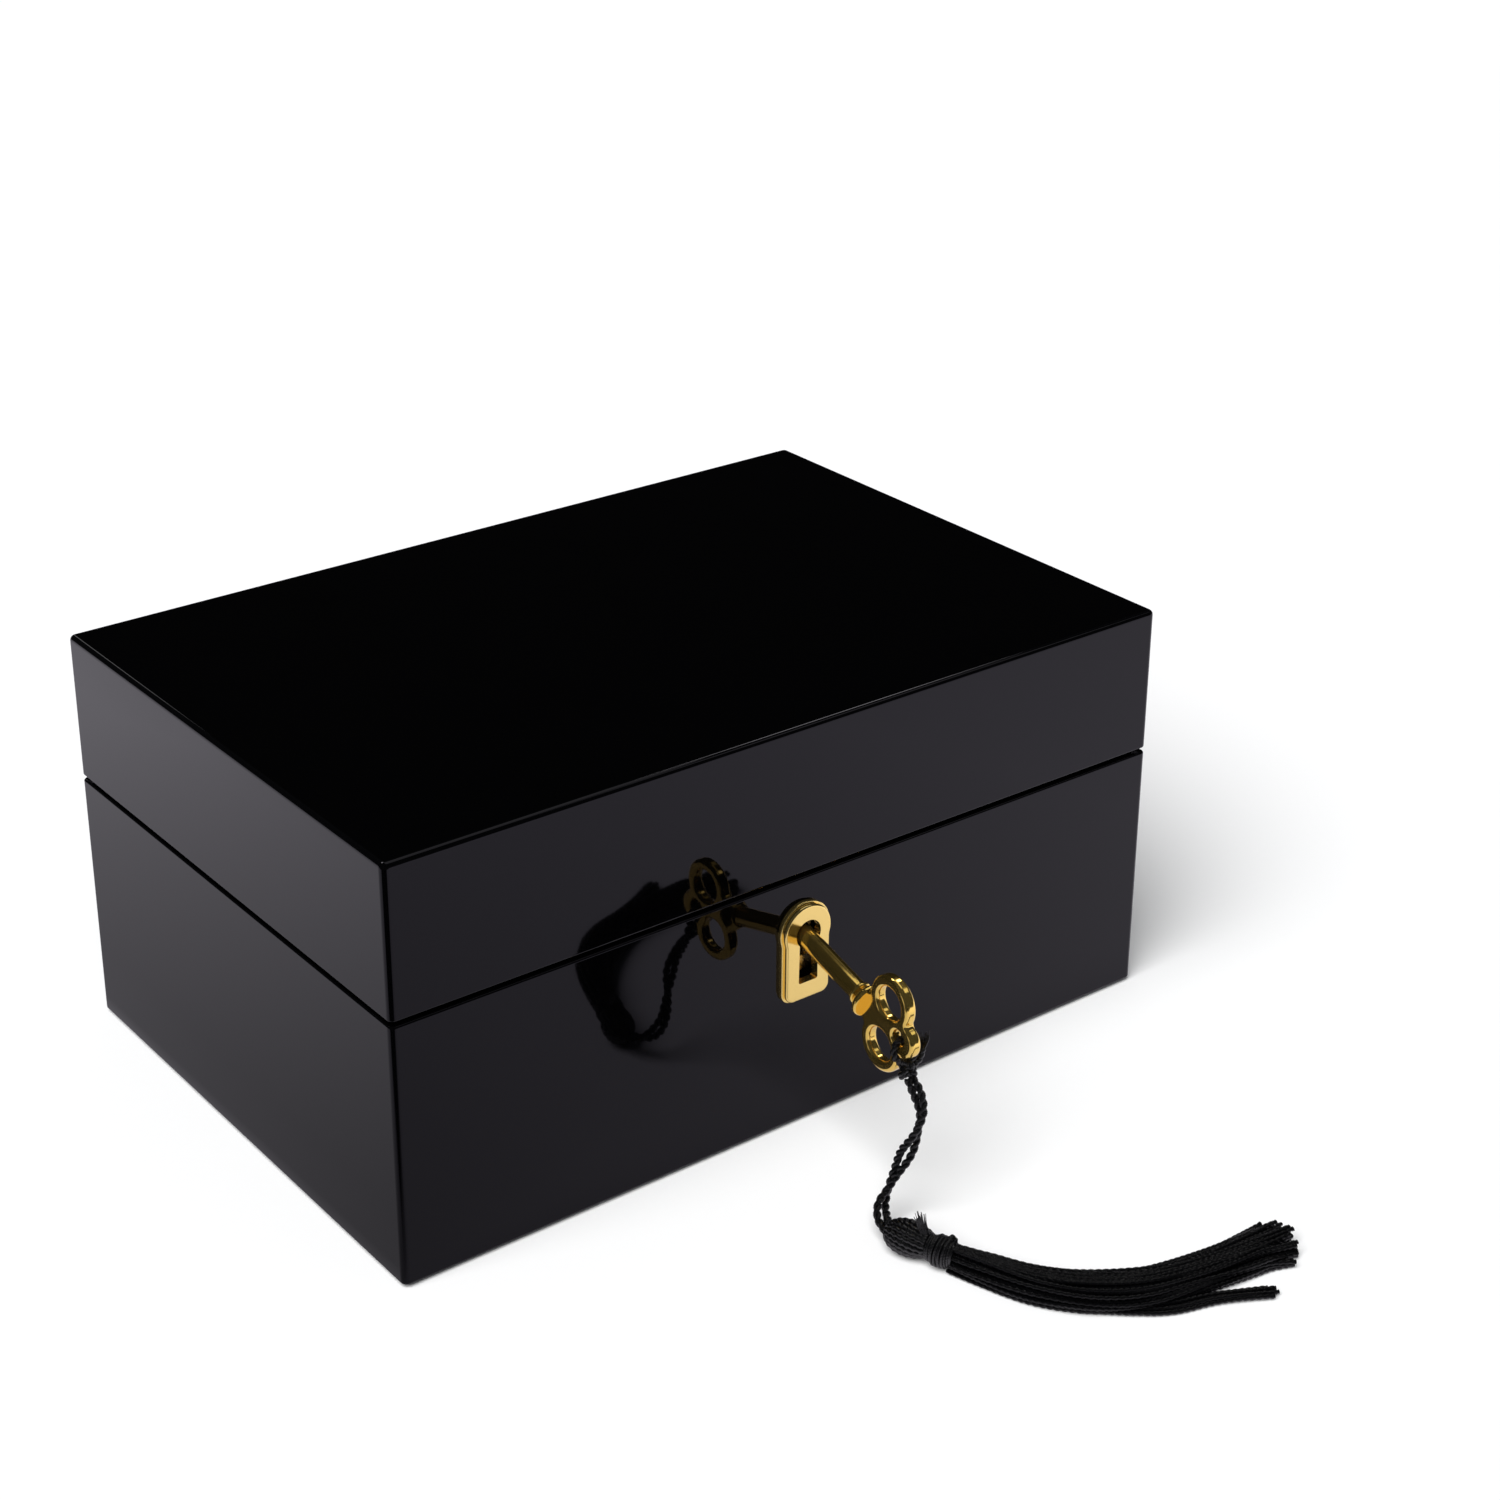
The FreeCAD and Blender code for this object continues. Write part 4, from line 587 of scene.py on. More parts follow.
def level_frames(line: np.ndarray) -> tuple[np.ndarray, np.ndarray]:
    """Level unit directions along a line and to its left.

    Args:
        line: the points of the line.

    Returns:
        The directions along it and to its left at each point.
    """
    along = np.gradient(line, axis=0)
    along[:, 2] = 0
    along /= np.linalg.norm(along, axis=1)[:, None]
    return along, np.stack([-along[:, 1], along[:, 0], np.zeros(len(line))], axis=1)


def wound(line: np.ndarray, radius: float | np.ndarray, pitch: float, phase: float) -> np.ndarray:
    """A helix round a line.

    Args:
        line: the line it goes round.
        radius: its distance from the line, one value or one for each point.
        pitch: length of a turn.
        phase: angle at the start.

    Returns:
        The points of the helix.
    """
    first, second = frames(line)
    angle = phase + TURN * run_length(line) / pitch
    radius = np.broadcast_to(radius, len(line))[:, None]
    return line + radius * (np.cos(angle)[:, None] * first + np.sin(angle)[:, None] * second)


def overhand(count: int) -> np.ndarray:
    """A closed overhand knot, about three across each way from its middle.

    Args:
        count: how many points to return.

    Returns:
        The knot's points.
    """
    turn = np.linspace(0, TURN, count)
    return np.stack([np.sin(turn) + 2 * np.sin(2 * turn), np.cos(turn) - 2 * np.cos(2 * turn),
                     -np.sin(3 * turn)], axis=1)


class Threads:
    """Round or two-lobed threads, or skins over rings of points, gathered in one mesh."""

    def __init__(self) -> None:
        """Start with no threads."""
        self.points: list[np.ndarray] = []
        self.faces: list[np.ndarray] = []
        self.uvs: list[np.ndarray] = []
        self.total = 0

    def add(self, line: np.ndarray, radius: float | np.ndarray, sides: int = 8,
            pitch: float = 0.0, lobe: float = 0.0, phase: float = 0.0) -> None:
        """Add one thread.

        Args:
            line: its middle line.
            radius: its radius, one value or one for each point.
            sides: how many sides its section has.
            pitch: length of a turn of its two plies, 0 for a plain thread.
            lobe: how deep the groove between the plies is, as a share of the radius.
            phase: turn of the section at the start.
        """
        first, second = frames(line)
        radius = np.broadcast_to(radius, len(line))[:, None]
        around = np.linspace(0, TURN, sides, endpoint=False)[None, :]
        travelled = run_length(line)
        turn = phase + (TURN * travelled / pitch if pitch else 0 * travelled)
        reach = radius * (1 + lobe * np.cos(2 * around) - lobe * 0.5)
        angle = around + turn[:, None]
        ring = (line[:, None, :] + (reach * np.cos(angle))[:, :, None] * first[:, None, :]
                + (reach * np.sin(angle))[:, :, None] * second[:, None, :])
        self.cover(ring, travelled / (2.0 * MM))

    def strand(self, line: np.ndarray, ply: float, pitch: float) -> None:
        """Add a strand of two plies wound round a line."""
        for phase in (0.0, math.pi):
            self.add(wound(line, 0.72 * ply, pitch, phase), 1.06 * ply, 10, 0.9 * MM, 0.05)

    def fibre(self, points: Sequence[np.ndarray], radius: float, count: int) -> None:
        """Add a fine fibre through points, thinner towards its tip."""
        self.add(smooth_line(np.vstack(points), count), np.linspace(radius, 0.06 * MM, count), 6)

    def cover(self, rings: np.ndarray, along: np.ndarray, closed: bool = False) -> None:
        """Add a skin over rings of points.

        Args:
            rings: the points, by ring, place on the ring, and axis.
            along: how far along each ring is, kept in the UV map.
            closed: whether the last ring joins the first; otherwise both ends are capped.
        """
        rows, sides, base = len(rings), rings.shape[1], self.total
        i, j = np.meshgrid(np.arange(rows if closed else rows - 1), np.arange(sides), indexing="ij")
        k, m = (j + 1) % sides, (i + 1) % rows
        quads = np.stack([i * sides + j, i * sides + k, m * sides + k, m * sides + j], -1)
        self.points.append(rings.reshape(-1, 3))
        self.faces.append(base + quads.reshape(-1, 4))
        shares = np.broadcast_to(np.arange(sides) / sides, (rows, sides))
        run = np.broadcast_to(along[:, None], (rows, sides))
        self.uvs.append(np.stack([shares, run], -1).reshape(-1, 2))
        self.total += rows * sides
        if closed:
            return
        for row in (0, rows - 1):
            j = np.arange(sides)
            edge = [base + row * sides + j, base + row * sides + (j + 1) % sides]
            edge = edge if row else edge[::-1]
            self.faces.append(np.stack([*edge, np.full(sides, self.total)], -1))
            self.points.append(rings[row].mean(axis=0)[None, :])
            self.uvs.append(np.zeros((1, 2)))
            self.total += 1

    def mesh(self, name: str, finish: Finish) -> bpy.types.Object:
        """The threads as one smooth mesh object.

        Args:
            name: name of the object.
            finish: its finish.

        Returns:
            The object, linked to the scene.
        """
        data = bpy.data.meshes.new(name)
        faces = [face.tolist() for group in self.faces for face in group]
        data.from_pydata(np.vstack(self.points).tolist(), [], faces)
        layer = data.uv_layers.new(name="along")
        corners = np.empty(len(data.loops), int)
        data.loops.foreach_get("vertex_index", corners)
        layer.data.foreach_set("uv", np.vstack(self.uvs)[corners].astype(np.float32).ravel())
        data.shade_smooth()
        data.materials.append(finish.material())
        made = bpy.data.objects.new(name, data)
        bpy.context.scene.collection.objects.link(made)
        LOG.info("%s: %d faces", name, len(faces))
        return made


def route_curve(name: str, points: Sequence[Point]) -> np.ndarray:
    """Points of a smooth curve by given control points, read from a NURBS curve.

    Args:
        name: name of the curve while it exists.
        points: its control points in millimetres.

    Returns:
        The curve's points in metres.
    """
    data = bpy.data.curves.new(name, "CURVE")
    data.dimensions = "3D"
    data.resolution_u = 24
    spline = data.splines.new("NURBS")
    spline.points.add(len(points) - 1)
    for control, place in zip(spline.points, points):
        control.co = (*(MM * value for value in place), 1.0)
    spline.order_u = 3
    spline.use_endpoint_u = True
    holder = bpy.data.objects.new(name, data)
    bpy.context.scene.collection.objects.link(holder)
    drawn = bpy.data.meshes.new_from_object(holder)
    line = np.array([tuple(vertex.co) for vertex in drawn.vertices])
    bpy.data.meshes.remove(drawn)
    bpy.data.objects.remove(holder)
    bpy.data.curves.remove(data)
    return line


@dataclass
class Padding:
    """Padded boards or rolls gathered in one piece, each with a crowned top and sides that pull in.

    A crown of 1 or more makes a round-topped roll, and less than 1 a board whose top falls off by that
    share towards its sides. The ends are rounded over the length `ends`, and the sides pull in by `pull`
    at the middle, both in millimetres.
    """

    name: str
    node: str
    body: str
    fill: float
    crown: float
    ends: float
    pull: float = 0.5
    threads: Threads = field(default_factory=Threads)

    def section(self, half: float, height: float) -> np.ndarray:
        """Half width and height of the form round its section, from one foot over the top to the other.

        Args:
            half: half its width.
            height: its height.

        Returns:
            The points across and up, in millimetres.
        """
        rolled = self.crown >= 1.0
        square = 1.0 if rolled else 0.45
        shoulder = height - half if rolled else height * 0.25
        angle = np.linspace(0, math.pi, 31)
        across = half * np.sign(np.cos(angle)) * np.abs(np.cos(angle)) ** square
        up = shoulder + (height - shoulder) * np.sin(angle) ** square
        if not rolled:
            up = up * (1 - self.crown * (across / half) ** 2)
        foot = np.array([(share * half, 0.0) for share in (-0.97, -0.5, 0.5, 0.97)])
        return np.vstack([np.stack([across, up], 1), foot])

    def add(self, low: Point, high: Point) -> None:
        """Add one padded form that fills a box.

        Args:
            low: the box's lowest corner, in millimetres.
            high: the box's highest corner, in millimetres.
        """
        length, middle = high[0] - low[0], (low[1] + high[1]) / 2
        edge = self.ends * (1 - np.cos(np.linspace(0, math.pi / 2, 8)))
        between = np.linspace(self.ends, length - self.ends, 26)[1:-1]
        along = np.concatenate([edge, between, (length - edge)[::-1]])
        rings = []
        for place in along:
            near = min(place, length - place) / self.ends
            inset = 0.8 * self.ends * (1 - math.sqrt(max(0.0, 1 - max(0.0, 1 - near) ** 2)))
            waist = self.pull * math.sin(math.pi * place / length) ** 2
            wave = 0.12 * math.sin(0.21 * place + 1.7 * low[1])
            half, height = (high[1] - low[1]) / 2 - inset - waist, high[2] - low[2] - inset
            points = self.section(half, height - abs(wave))
            rings.append([(low[0] + place, middle + across, low[2] + up) for across, up in points])
        self.threads.cover(np.array(rings) * MM, along / 2.0)

    def finish(self) -> None:
        """Make the piece, in place of its CAD node."""
        made = self.threads.mesh(self.name, GREY_SUEDE)
        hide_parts(self.node)
        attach(made, self.body)


@dataclass
class Carcass:
    """The lacquered base and lid, with their linings, the mirror, the bumpers and the padded floor."""

    cushion_low: Point = (-105.6, -65.6, 5.8)
    cushion_high: Point = (105.6, 65.6, 8.3)

    def build(self) -> None:
        """Dress the walls, rails, panels and linings, and pad the floor."""
        for side in SIDES:
            dress(BLACK_LACQUER, [f"base_{side}_wall", f"lid_{side}_rail"])
            dress(GREY_SUEDE, [f"base_{side}_lining", f"lid_{side}_lining"])
        dress(BLACK_LACQUER, ["base_bottom_panel", "lid_top_panel"])
        dress(GREY_SUEDE, ["mirror_surround"])
        dress(BLACK_FELT, ["base_felt"])
        dress(MIRROR_SILVER, ["mirror_glass"])
        dress(PAD_RUBBER, ["lid_bumpers"])
        pad = Padding("floor_cushion", "base_floor_pad", "base", 0.8, 0.25, 3.0)
        pad.add(self.cushion_low, self.cushion_high)
        pad.finish()


@dataclass
class Hardware:
    """Keyhole plate, key, lock, strike and hinges."""

    def build(self) -> None:
        """Dress the metal pieces."""
        leaves = [f"hinge_{hand}_{leaf}_leaf" for hand in ("left", "right") for leaf in ("base", "lid")]
        dress(POLISHED_BRASS, ["keyhole_escutcheon", *leaves])
        dress(KEY_GILT, ["key"])
        dress(LOCK_BRASS, ["lock_case", "lock_cap", "lock_strike"])
        dress(LOCK_STEEL, ["lock_hub", "lock_bolt", "hinge_left_pin", "hinge_right_pin"])
        dress(SCREW_BRASS, ["lock_screws", "strike_screws", "hinge_base_screws", "hinge_lid_screws"])


@dataclass
class Tray:
    """The lift-out tray with its rolls, pads and ribbon pulls, its sizes in millimetres."""

    half_length: float = 105.3
    half_depth: float = 65.3
    floor: float = 38.5
    bay_end: float = -35.3
    bays: tuple[tuple[float, float, float, float], ...] = (
        (-32.8, 105.3, 1.25, 65.3),
        (-32.8, 35.2, -65.3, -1.25),
        (37.7, 105.3, -65.3, -1.25),
    )
    gap: float = 0.4
    rolls: int = 12
    roll_height: float = 15.0
    board_height: float = 1.5
    ribbon_width: float = 12.0
    ribbon_place: float = 103.5

    def build(self) -> None:
        """Dress the tray's boards and build its soft parts."""
        dress(GREY_SUEDE, [f"tray_{side}_wall" for side in SIDES])
        dress(GREY_SUEDE, ["tray_floor", "tray_bay_wall", "tray_long_divider", "tray_cross_divider"])
        self.ring_rolls()
        self.pads()
        for hand, sign in (("left", -1), ("right", 1)):
            self.ribbon(hand, sign)

    def ring_rolls(self) -> None:
        """The row of padded rolls that hold rings between them."""
        padding = Padding("padded_rolls", "ring_rolls", "tray", 0.9, 1.0, 2.6, 0.25)
        pitch = 2 * self.half_depth / self.rolls
        for index in range(self.rolls):
            y = -self.half_depth + index * pitch + self.gap / 2
            padding.add((-self.half_length + self.gap, y, self.floor),
                        (self.bay_end - self.gap, y + pitch - self.gap, self.floor + self.roll_height))
        padding.finish()

    def pads(self) -> None:
        """The padded boards on the floors of the three bays."""
        padding = Padding("bay_cushions", "tray_pads", "tray", 0.8, 0.25, 2.5)
        for x0, x1, y0, y1 in self.bays:
            padding.add((x0 + self.gap, y0 + self.gap, self.floor),
                        (x1 - self.gap, y1 - self.gap, self.floor + self.board_height))
        padding.finish()

    def ribbon(self, hand: str, sign: int) -> None:
        """A loop of ribbon inside an end wall, to lift the tray by.

        Args:
            hand: left or right.
            sign: -1 on the left and 1 on the right.
        """
        loop = metres((x, 0.0, z) for x, z in (*RIBBON_LOOP, RIBBON_LOOP[0]))
        path = smooth_line(loop, 73)[:-1]
        normals = np.gradient(path, axis=0)
        normals = np.stack([normals[:, 2], 0 * normals[:, 0], -normals[:, 0]], 1)
        normals /= np.linalg.norm(normals, axis=1)[:, None]
        half = self.ribbon_width / 2 * MM
        across = np.linspace(-half, half, 13)
        lift = (path[:, 2] - path[:, 2].min()) / np.ptp(path[:, 2])
        rings = []
        for side, order in ((0.2, 1), (-0.2, -1)):
            for y in across[::order]:
                curl = 0.16 * (abs(y) / half) ** 4
                row = path + normals * (side - curl) * MM
                row[:, 1] = y * (1 - 0.05 * lift)
                rings.append(row + (sign * self.ribbon_place * MM, 0, 0))
        threads = Threads()
        threads.cover(np.array(rings).transpose(1, 0, 2), run_length(path) / (2.0 * MM), closed=True)
        made = threads.mesh(f"{hand}_lifting_ribbon", GREY_RIBBON)
        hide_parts(f"tray_{hand}_ribbon")
        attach(made, "tray")


@dataclass
class Tassel:
    """The doubled cord from the key to the table, and the tassel at its end.

    Lengths are in metres, and the root of the tuft in millimetres.
    """

    seed: int = 11
    ply: float = 0.60 * MM
    yarn_radius: float = 0.64 * MM
    yarn_pitch: float = 3.3 * MM
    yarn_lobe: float = 0.13
    head_yarns: int = 19
    head_height: float = 4.65 * MM
    binding_height: float = 4.17 * MM
    binding_thread: float = 0.37 * MM
    core_radius: float = 2.95 * MM
    tuft_root: Point = (-14.0, -145.6, 7.4)
    tuft_lean: Point = (-0.10, 0.34, 0.93)
    fibres: int = 26
    heading: np.ndarray = field(init=False)
    chance: random.Random = field(init=False)

    def __post_init__(self) -> None:
        """Work out the tassel's unit heading, and start its own run of chance."""
        self.heading = np.array(TASSEL_HEADING) / np.linalg.norm(TASSEL_HEADING)
        self.chance = random.Random(self.seed)

    def build(self) -> None:
        """Build every piece of the cord and tassel."""
        line = route_curve("cord_route", CORD_ROUTE)
        head = self.head()
        binding = self.binding()
        self.cord(line)
        for piece in (head, binding, self.skirt()):
            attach(piece, "base")
        BowKnot(self.chance, self.fibres).build()

    def place(self, along: float, up: float = 0.0) -> np.ndarray:
        """A point over the tassel's axis.

        Args:
            along: its distance from the cord's end.
            up: its height over the table.

        Returns:
            The point.
        """
        point = metres([CORD_ROUTE[-1]])[0] + self.heading * along
        point[2] = up
        return point

    def around(self, centres: np.ndarray, reach: np.ndarray, angle: np.ndarray) -> np.ndarray:
        """Points round the tassel's axis.

        Args:
            centres: points on the axis.
            reach: distance from it at each.
            angle: angle round it at each, 0 to the side and a quarter turn up.

        Returns:
            The points.
        """
        sides = np.array(((-self.heading[1], self.heading[0], 0.0), (0.0, 0.0, 1.0)))
        return centres + np.stack([reach * np.cos(angle), reach * np.sin(angle)], axis=1) @ sides

    def cord(self, line: np.ndarray) -> None:
        """Two strands of two plies each, crossing over one another on the way.

        Args:
            line: the cord's route.
        """
        threads = Threads()
        line = even(line, 320)
        travelled = run_length(line)
        length = float(travelled[-1])
        apart = (1.08 + 0.30 * np.sin(TURN * travelled / (17.0 * MM) + 0.8)) * MM
        apart *= np.interp(travelled / length, [0.0, 0.10, 0.22, 0.93, 1.0], [0.50, 0.72, 1.0, 1.0, 0.5])
        for phase in (0.5, 0.5 + math.pi):
            threads.strand(wound(line, apart, 36.0 * MM, phase), self.ply, 4.3 * MM)
        made = threads.mesh("doubled_cord", BOUND_SILK)
        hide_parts("tassel_cord")
        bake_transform(made)

    def head(self) -> bpy.types.Object:
        """The head: yarns laid lengthwise over an egg, from the cord's end to the binding.

        Returns:
            The head.
        """
        threads = Threads()
        shares = np.linspace(0, 1, 70)
        outline = smooth_line(np.array([(share, 0.1 * reach, 0) for share, reach in HEAD_OUTLINE]), 300)
        reach = np.interp(shares, outline[:, 0], outline[:, 1] * 10) * MM
        centres = np.array([self.place(HEAD_LENGTH * MM * share, self.head_height) for share in shares])
        radius = self.yarn_radius * np.interp(reach, [1.0 * MM, 3.0 * MM, 4.4 * MM], [0.62, 0.95, 1.16])
        for index in range(self.head_yarns):
            start = TURN * (index + self.chance.uniform(-0.12, 0.12)) / self.head_yarns
            angle = start + 0.55 * shares + 0.05 * np.sin(5 * shares + index)
            line = self.around(centres, reach - radius * 0.95, angle)
            threads.add(line, radius, 10, self.yarn_pitch, self.yarn_lobe, self.chance.uniform(0, 6))
        threads.add(centres, np.maximum(reach - 0.9 * MM, 0.4 * MM), 28)
        self.tuft(threads)
        made = threads.mesh("folded_head", BOUND_SILK)
        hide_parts("tassel_head")
        return made

    def tuft(self, threads: Threads) -> None:
        """The frayed end of the binding thread, standing up between head and band.

        Args:
            threads: the mesh it joins.
        """
        root, lean = metres([self.tuft_root])[0], np.array(self.tuft_lean)
        for index in range(self.fibres):
            share = index / (self.fibres - 1) - 0.5
            height = (7.0 - 2.4 * abs(share) - self.chance.uniform(0, 1.6)) * MM
            foot = root + np.array((share * 1.6, share * -0.9, 0.0)) * MM
            spread = share * 1.1 + self.chance.uniform(-0.3, 0.3)
            tip = foot + lean * height + np.array((spread, 0.0, 0.0)) * MM
            middle = (foot + tip) / 2 + np.array((share * -0.3, 0.25, 0.0)) * MM
            threads.fibre([foot, middle, tip], 0.27 * MM, 14)

    def binding(self) -> bpy.types.Object:
        """The band of thread wound round the tassel's neck, with its knot.

        Returns:
            The band.
        """
        threads = Threads()
        length, start, up = BINDING_LENGTH * MM, HEAD_LENGTH * MM, self.binding_height
        for rounds, first, last, lift in ((10, 0.03, 0.97, 0.0), (4, 0.30, 0.86, 0.42)):
            steps = np.linspace(0, 1, 90 * rounds)
            shares = first + (last - first) * steps
            reach = (2.88 + 0.40 * np.sin(math.pi * shares) + lift + 0.07 * np.sin(9.7 * steps * rounds)) * MM
            centres = np.array([self.place(start + length * share, up) for share in shares])
            angle = TURN * rounds * steps
            slant = 0.35 * MM * np.sin(angle + 0.8) * (1 if lift else 0.3)
            line = self.around(centres + np.outer(slant, self.heading), reach, angle)
            threads.add(line, self.binding_thread, 8, 1.3 * MM, 0.12)
        core = np.array([self.place(start + length * step, up) for step in np.linspace(-0.06, 1.04, 12)])
        threads.add(core, self.core_radius, 24)
        knot_place = self.place(start + 0.80 * length, up)[None, :]
        centre = self.around(knot_place, np.array([3.5 * MM]), np.array([1.15]))[0]
        threads.add(centre + overhand(120) * 0.42 * MM, 0.36 * MM, 8)
        made = threads.mesh("neck_binding", BOUND_SILK)
        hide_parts("tassel_binding")
        return made

    def skirt(self) -> bpy.types.Object:
        """The skirt of twisted yarns with its fanned ends, and the lock that lies apart.

        Returns:
            The skirt.
        """
        threads = Threads()
        neck = self.place((HEAD_LENGTH + BINDING_LENGTH - 0.9) * MM)
        spine = smooth_line(np.vstack([neck, metres(place for place, _, _ in SKIRT_STATIONS)]), 90)
        known = np.linspace(0, 1, len(SKIRT_STATIONS) + 1)
        sizes = [SKIRT_NECK, *((width, height) for _, width, height in SKIRT_STATIONS)]
        width, height = (np.interp(np.linspace(0, 1, 90), known, each) * MM for each in zip(*sizes))
        for level, count in SKIRT_LAYERS:
            for index in range(count):
                across = 2 * (index + 0.5 + self.chance.uniform(-0.3, 0.3)) / count - 1
                self.yarn(threads, spine, width, height, across, level + self.chance.uniform(-0.07, 0.05))
        self.stray(threads)
        made = threads.mesh("tassel_yarns", BLACK_SILK)
        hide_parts("tassel_skirt")
        return made

    def stray(self, threads: Threads) -> None:
        """The lock of five yarns that lies apart from the skirt.

        Args:
            threads: the mesh it joins.
        """
        middle = smooth_line(metres(STRAY_LOCK), 90)
        _, side = level_frames(middle)
        for index in range(5):
            offset = (index - 2) * 0.82 * MM * (1 + 0.10 * np.sin(np.linspace(0, 7, 90) + 2 * index))
            line = middle + side * offset[:, None]
            line[:, 2] = (0.86 + 0.55 * (index % 2) + 0.15 * np.sin(np.linspace(0, 9, 90) + index)) * MM
            threads.add(line[:90 - self.chance.randint(0, 4)], self.yarn_radius * 0.94, 10,
                        self.yarn_pitch, self.yarn_lobe, index)

    def yarn(self, threads: Threads, spine: np.ndarray, width: np.ndarray, height: np.ndarray,
             across: float, level: float) -> None:
        """One yarn of the skirt, from the binding to its place in the fan.

        Args:
            threads: the mesh it joins.
            spine: middle line of the skirt on the table.
            width: width of the skirt at each point.
            height: height of the skirt at each point.
            across: the yarn's place across the skirt, from -1 to 1.
            level: its place up the skirt, from 0 to 1.
        """
        chance = self.chance
        shares = np.linspace(0, 1, len(spine))
        radius = self.yarn_radius * chance.uniform(0.92, 1.05)
        along, side = level_frames(spine)
        wave = level + 0.05 * np.sin(TURN * (shares * chance.uniform(1.0, 2.6) + chance.random()))
        wave = np.clip(wave, 0.0, 1.0)
        rounded = np.sqrt(np.clip(1 - ((wave - 0.35) / 0.70) ** 2, 0.04, 1))
        reach = np.where(wave > 0.35, rounded, 1 - 0.5 * (0.35 - wave))
        drift = 0.09 * np.sin(TURN * (shares * chance.uniform(0.7, 1.9) + chance.random())) * (0.25 + shares)
        line = spine + side * (np.clip(across + drift, -1, 1) * reach * (width / 2 - radius))[:, None]
        line[:, 2] = radius + 0.08 * MM + wave * (height - 2 * radius)
        tips = metres(LOCK_TIPS)[::-1]
        share = (across * float(reach[-1]) + 1) / 2 * (len(tips) - 1)
        share = 0.45 * round(share) + 0.55 * share
        tip = np.array([np.interp(share, range(len(tips)), tips[:, axis]) for axis in range(3)])
        run = tip - line[-1]
        run[2] = 0
        end = line[-1] + run * chance.uniform(0.74, 1.0)
        end[2] = max(radius + 0.08 * MM, line[-1][2] * chance.uniform(0.5, 1.05))
        middle = (line[-1] + end) / 2 + along[-1] * 0.3 * MM
        whole = smooth_line(np.vstack([line[::6], line[-1:], [middle, end]]), 170)
        slim = np.interp(np.linspace(0, 1, 170), [0, 0.12, 0.3, 1], [0.80, 0.9, 1.0, 1.0])
        threads.add(whole, radius * slim, 10, self.yarn_pitch * chance.uniform(0.9, 1.15), self.yarn_lobe,
                    chance.uniform(0, 6))


@dataclass
class BowKnot:
    """The loop through the key's bow, the overhand knot under it and its frayed end.

    Places and sizes are in millimetres.
    """

    chance: random.Random
    fibres: int
    loop_centre: Point = (-1.782, -121.966, 42.859)
    loop_radius: float = 3.044
    knot_centre: Point = (-1.829, -123.328, 38.107)
    knot_scale: float = 0.66
    down: Point = (-0.0096, -0.2755, -0.9613)
    side: Point = (0.99939, -0.0349, 0.0)

    def build(self) -> None:
        """Build the loop, the knot and the frayed end as one piece that rides on the key."""
        threads = Threads()
        loop_centre, knot_centre = metres([self.loop_centre, self.knot_centre])
        down, side = np.array(self.down), np.array(self.side)
        outward = np.cross(down, side)
        turn = np.linspace(0, TURN, 130)
        ring = self.loop_radius * MM * (1 + 0.03 * np.sin(2 * turn))
        loop = loop_centre + np.outer(ring * np.cos(turn), down) + np.outer(ring * np.sin(turn), side)
        threads.strand(loop, 0.58 * MM, 3.6 * MM)
        shape = overhand(200) * (1.15, 0.85, 1.0) * self.knot_scale * MM
        threads.strand(knot_centre + shape @ np.stack([side, down, outward]), 0.56 * MM, 3.4 * MM)
        tail = smooth_line(np.vstack([
            knot_centre + side * 0.8 * MM,
            loop_centre + (side * 3.9 + down * 3.6) * MM,
            loop_centre + (side * 5.6 + down * 1.3) * MM,
        ]), 60)
        threads.strand(tail, 0.46 * MM, 3.0 * MM)
        for index in range(self.fibres):
            share = index / (self.fibres - 1) - 0.5
            foot = tail[-1] + outward * share * 0.9 * MM
            beyond = 1.2 + 1.3 * share + self.chance.uniform(-0.5, 0.5)
            rise, lean = self.chance.uniform(2.2, 4.4), self.chance.uniform(-0.8, 0.8)
            tip = foot + (side * beyond - down * rise + outward * lean) * MM
            middle = (foot + tip) / 2 + (side * 0.35 + outward * share * 0.6) * MM
            threads.fibre([foot, middle, tip], 0.24 * MM, 12)
        made = threads.mesh("bow_knot", BOUND_SILK)
        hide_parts("cord_knot")
        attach(made, "key")


@dataclass(frozen=True)
class Card:
    """A glowing card that only gloss sees: its direction and distance from the box, size and strength."""

    name: str
    toward: Point
    distance: float
    size: tuple[float, float]
    strength: float

    def build(self) -> None:
        """Stand the card up, facing the box."""
        bpy.ops.mesh.primitive_plane_add(size=1.0)
        made = bpy.context.object
        made.name = self.name
        direction = Vector(self.toward).normalized()
        made.location = direction * self.distance
        made.scale = (*self.size, 1.0)
        made.rotation_euler = direction.to_track_quat("Z", "Y").to_euler()
        graph = Graph(self.name)
        glow = graph.node("ShaderNodeEmission", {"Color": (1.0, 0.98, 0.97, 1.0), "Strength": self.strength})
        graph.surface(glow.outputs["Emission"])
        made.data.materials.append(graph.material)
        made.visible_camera = False
        made.visible_diffuse = False
        made.visible_shadow = False


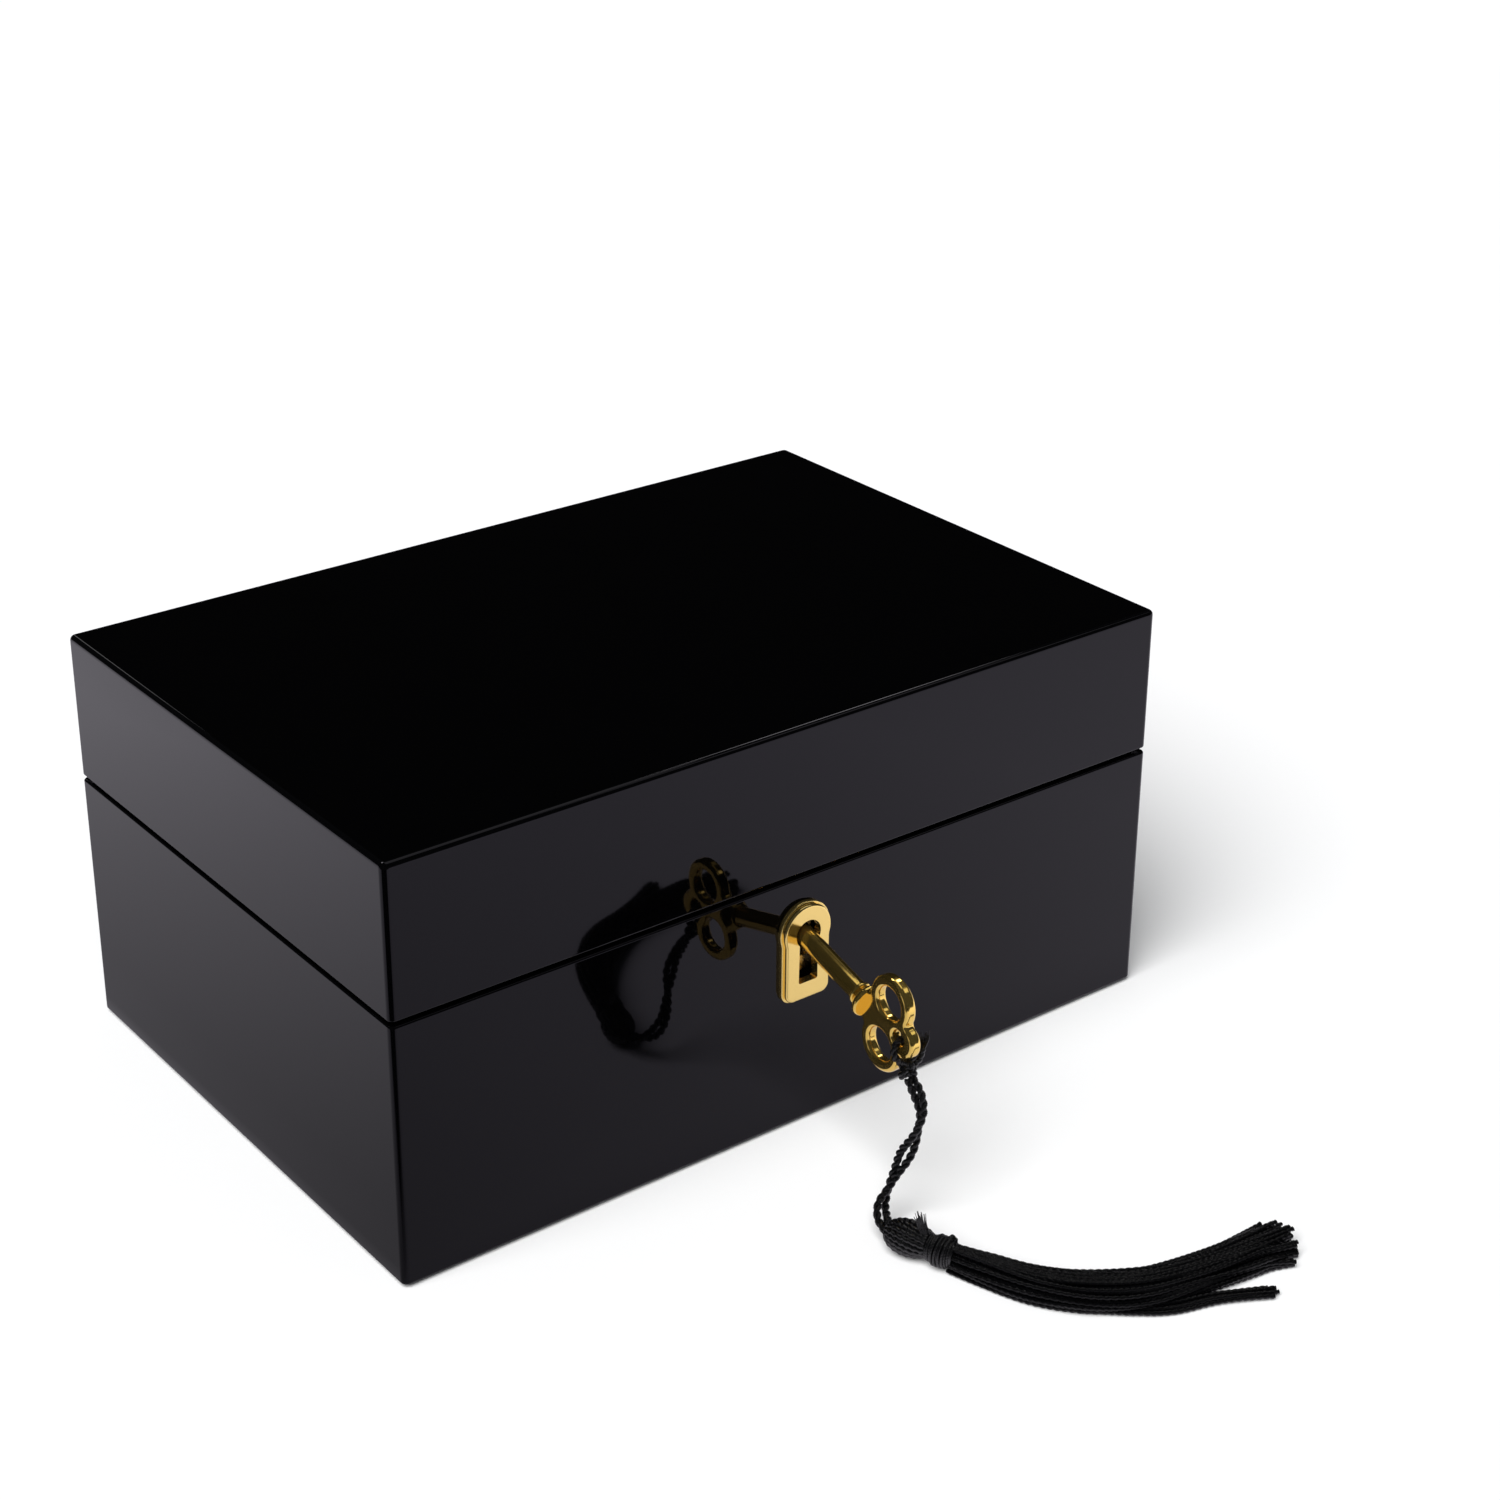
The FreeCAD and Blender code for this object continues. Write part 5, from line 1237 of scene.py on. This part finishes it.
@dataclass
class Studio:
    """White table, even surroundings, one soft sun, the cards seen in the gloss, and the camera."""

    eye: Point = (-0.3906, -0.5604, 0.4081)
    look: Point = (0.5496, 0.7308, -0.4048)
    lens: float = 67.3
    shift: tuple[float, float] = (0.0266, -0.0668)
    sun_strength: float = 3.95
    sun_spread: float = 50.0
    sun_direction: Point = (0.62, 0.34, -0.95)
    # Colour and strength of the surroundings, and the rays that see them instead of those before.
    surroundings: tuple[tuple[Colour, float, str], ...] = (
        ((0.92, 0.95, 1.0), 0.13, ""),
        ((0.9, 0.95, 1.0), 0.035, "Is Glossy Ray"),
        ((1.0, 1.0, 1.0), 1.0, "Is Camera Ray"),
    )
    # The dark panel keeps the lid's top black, and the others light its edges, the metal and the threads.
    cards: tuple[Card, ...] = (
        Card("dark_panel", (0.56, 0.74, 0.36), 2.2, (2.0, 1.5), 0.006),
        Card("strip_panel", (0.14, 0.845, 0.51), 1.6, (0.15, 0.25), 1.2),
        Card("front_panel", (0.55, -0.40, 0.73), 1.6, (0.5, 0.30), 0.8),
        Card("broad_panel", (0.25, 0.0, 0.97), 1.5, (1.1, 0.8), 0.75),
        Card("left_panel", (-0.15, 0.45, 0.88), 1.3, (0.40, 0.30), 6.0),
        Card("right_panel", (0.55, 0.22, 0.80), 1.4, (0.22, 0.22), 5.0),
    )

    def build(self) -> None:
        """Make the table, the surroundings, the sun, the cards and the camera."""
        self.table()
        self.world()
        self.sun()
        for card in self.cards:
            card.build()
        self.camera()

    def table(self) -> None:
        """A wide white table under the box."""
        bpy.ops.mesh.primitive_plane_add(size=16.0, location=(0, 0, -0.0002))
        made = bpy.context.object
        made.name = "table"
        made.data.materials.append(WHITE_TABLE.material())

    def world(self) -> None:
        """Surroundings that are white to the camera, dim to everything else and dimmer still in gloss."""
        world = bpy.data.worlds.new("studio")
        bpy.context.scene.world = world
        world.use_nodes = True
        tree = world.node_tree
        tree.nodes.clear()
        path = tree.nodes.new("ShaderNodeLightPath")
        shown = None
        for colour, strength, ray in self.surroundings:
            made = tree.nodes.new("ShaderNodeBackground")
            made.inputs["Color"].default_value = (*colour, 1.0)
            made.inputs["Strength"].default_value = strength
            if shown is not None:
                mix = tree.nodes.new("ShaderNodeMixShader")
                tree.links.new(path.outputs[ray], mix.inputs["Fac"])
                tree.links.new(shown.outputs[0], mix.inputs[1])
                tree.links.new(made.outputs[0], mix.inputs[2])
                made = mix
            shown = made
        output = tree.nodes.new("ShaderNodeOutputWorld")
        tree.links.new(shown.outputs[0], output.inputs["Surface"])

    def sun(self) -> None:
        """One broad soft sun from the upper left, not seen in gloss."""
        sun = bpy.data.lights.new("soft_sun", "SUN")
        sun.energy = self.sun_strength
        sun.angle = math.radians(self.sun_spread)
        lamp = bpy.data.objects.new("soft_sun", sun)
        lamp.rotation_euler = Vector(self.sun_direction).to_track_quat("-Z", "Y").to_euler()
        lamp.visible_glossy = False
        bpy.context.scene.collection.objects.link(lamp)

    def camera(self) -> None:
        """The camera at the photograph's angle."""
        data = bpy.data.cameras.new("camera")
        data.lens = self.lens
        data.sensor_width = 36.0
        data.shift_x, data.shift_y = self.shift
        data.clip_start, data.clip_end = 0.01, 100.0
        made = bpy.data.objects.new("camera", data)
        made.location = self.eye
        made.rotation_euler = Vector(self.look).to_track_quat("-Z", "Y").to_euler()
        bpy.context.scene.collection.objects.link(made)
        bpy.context.scene.camera = made


def main() -> None:
    """Build the scene."""
    logging.basicConfig(level=logging.INFO, format="%(message)s")
    bpy.context.scene.view_settings.view_transform = "Standard"
    for part in (Carcass(), Hardware(), Tray(), Tassel(), Studio()):
        part.build()
        LOG.info("built %s", type(part).__name__)


if __name__ == "__main__":
    main()
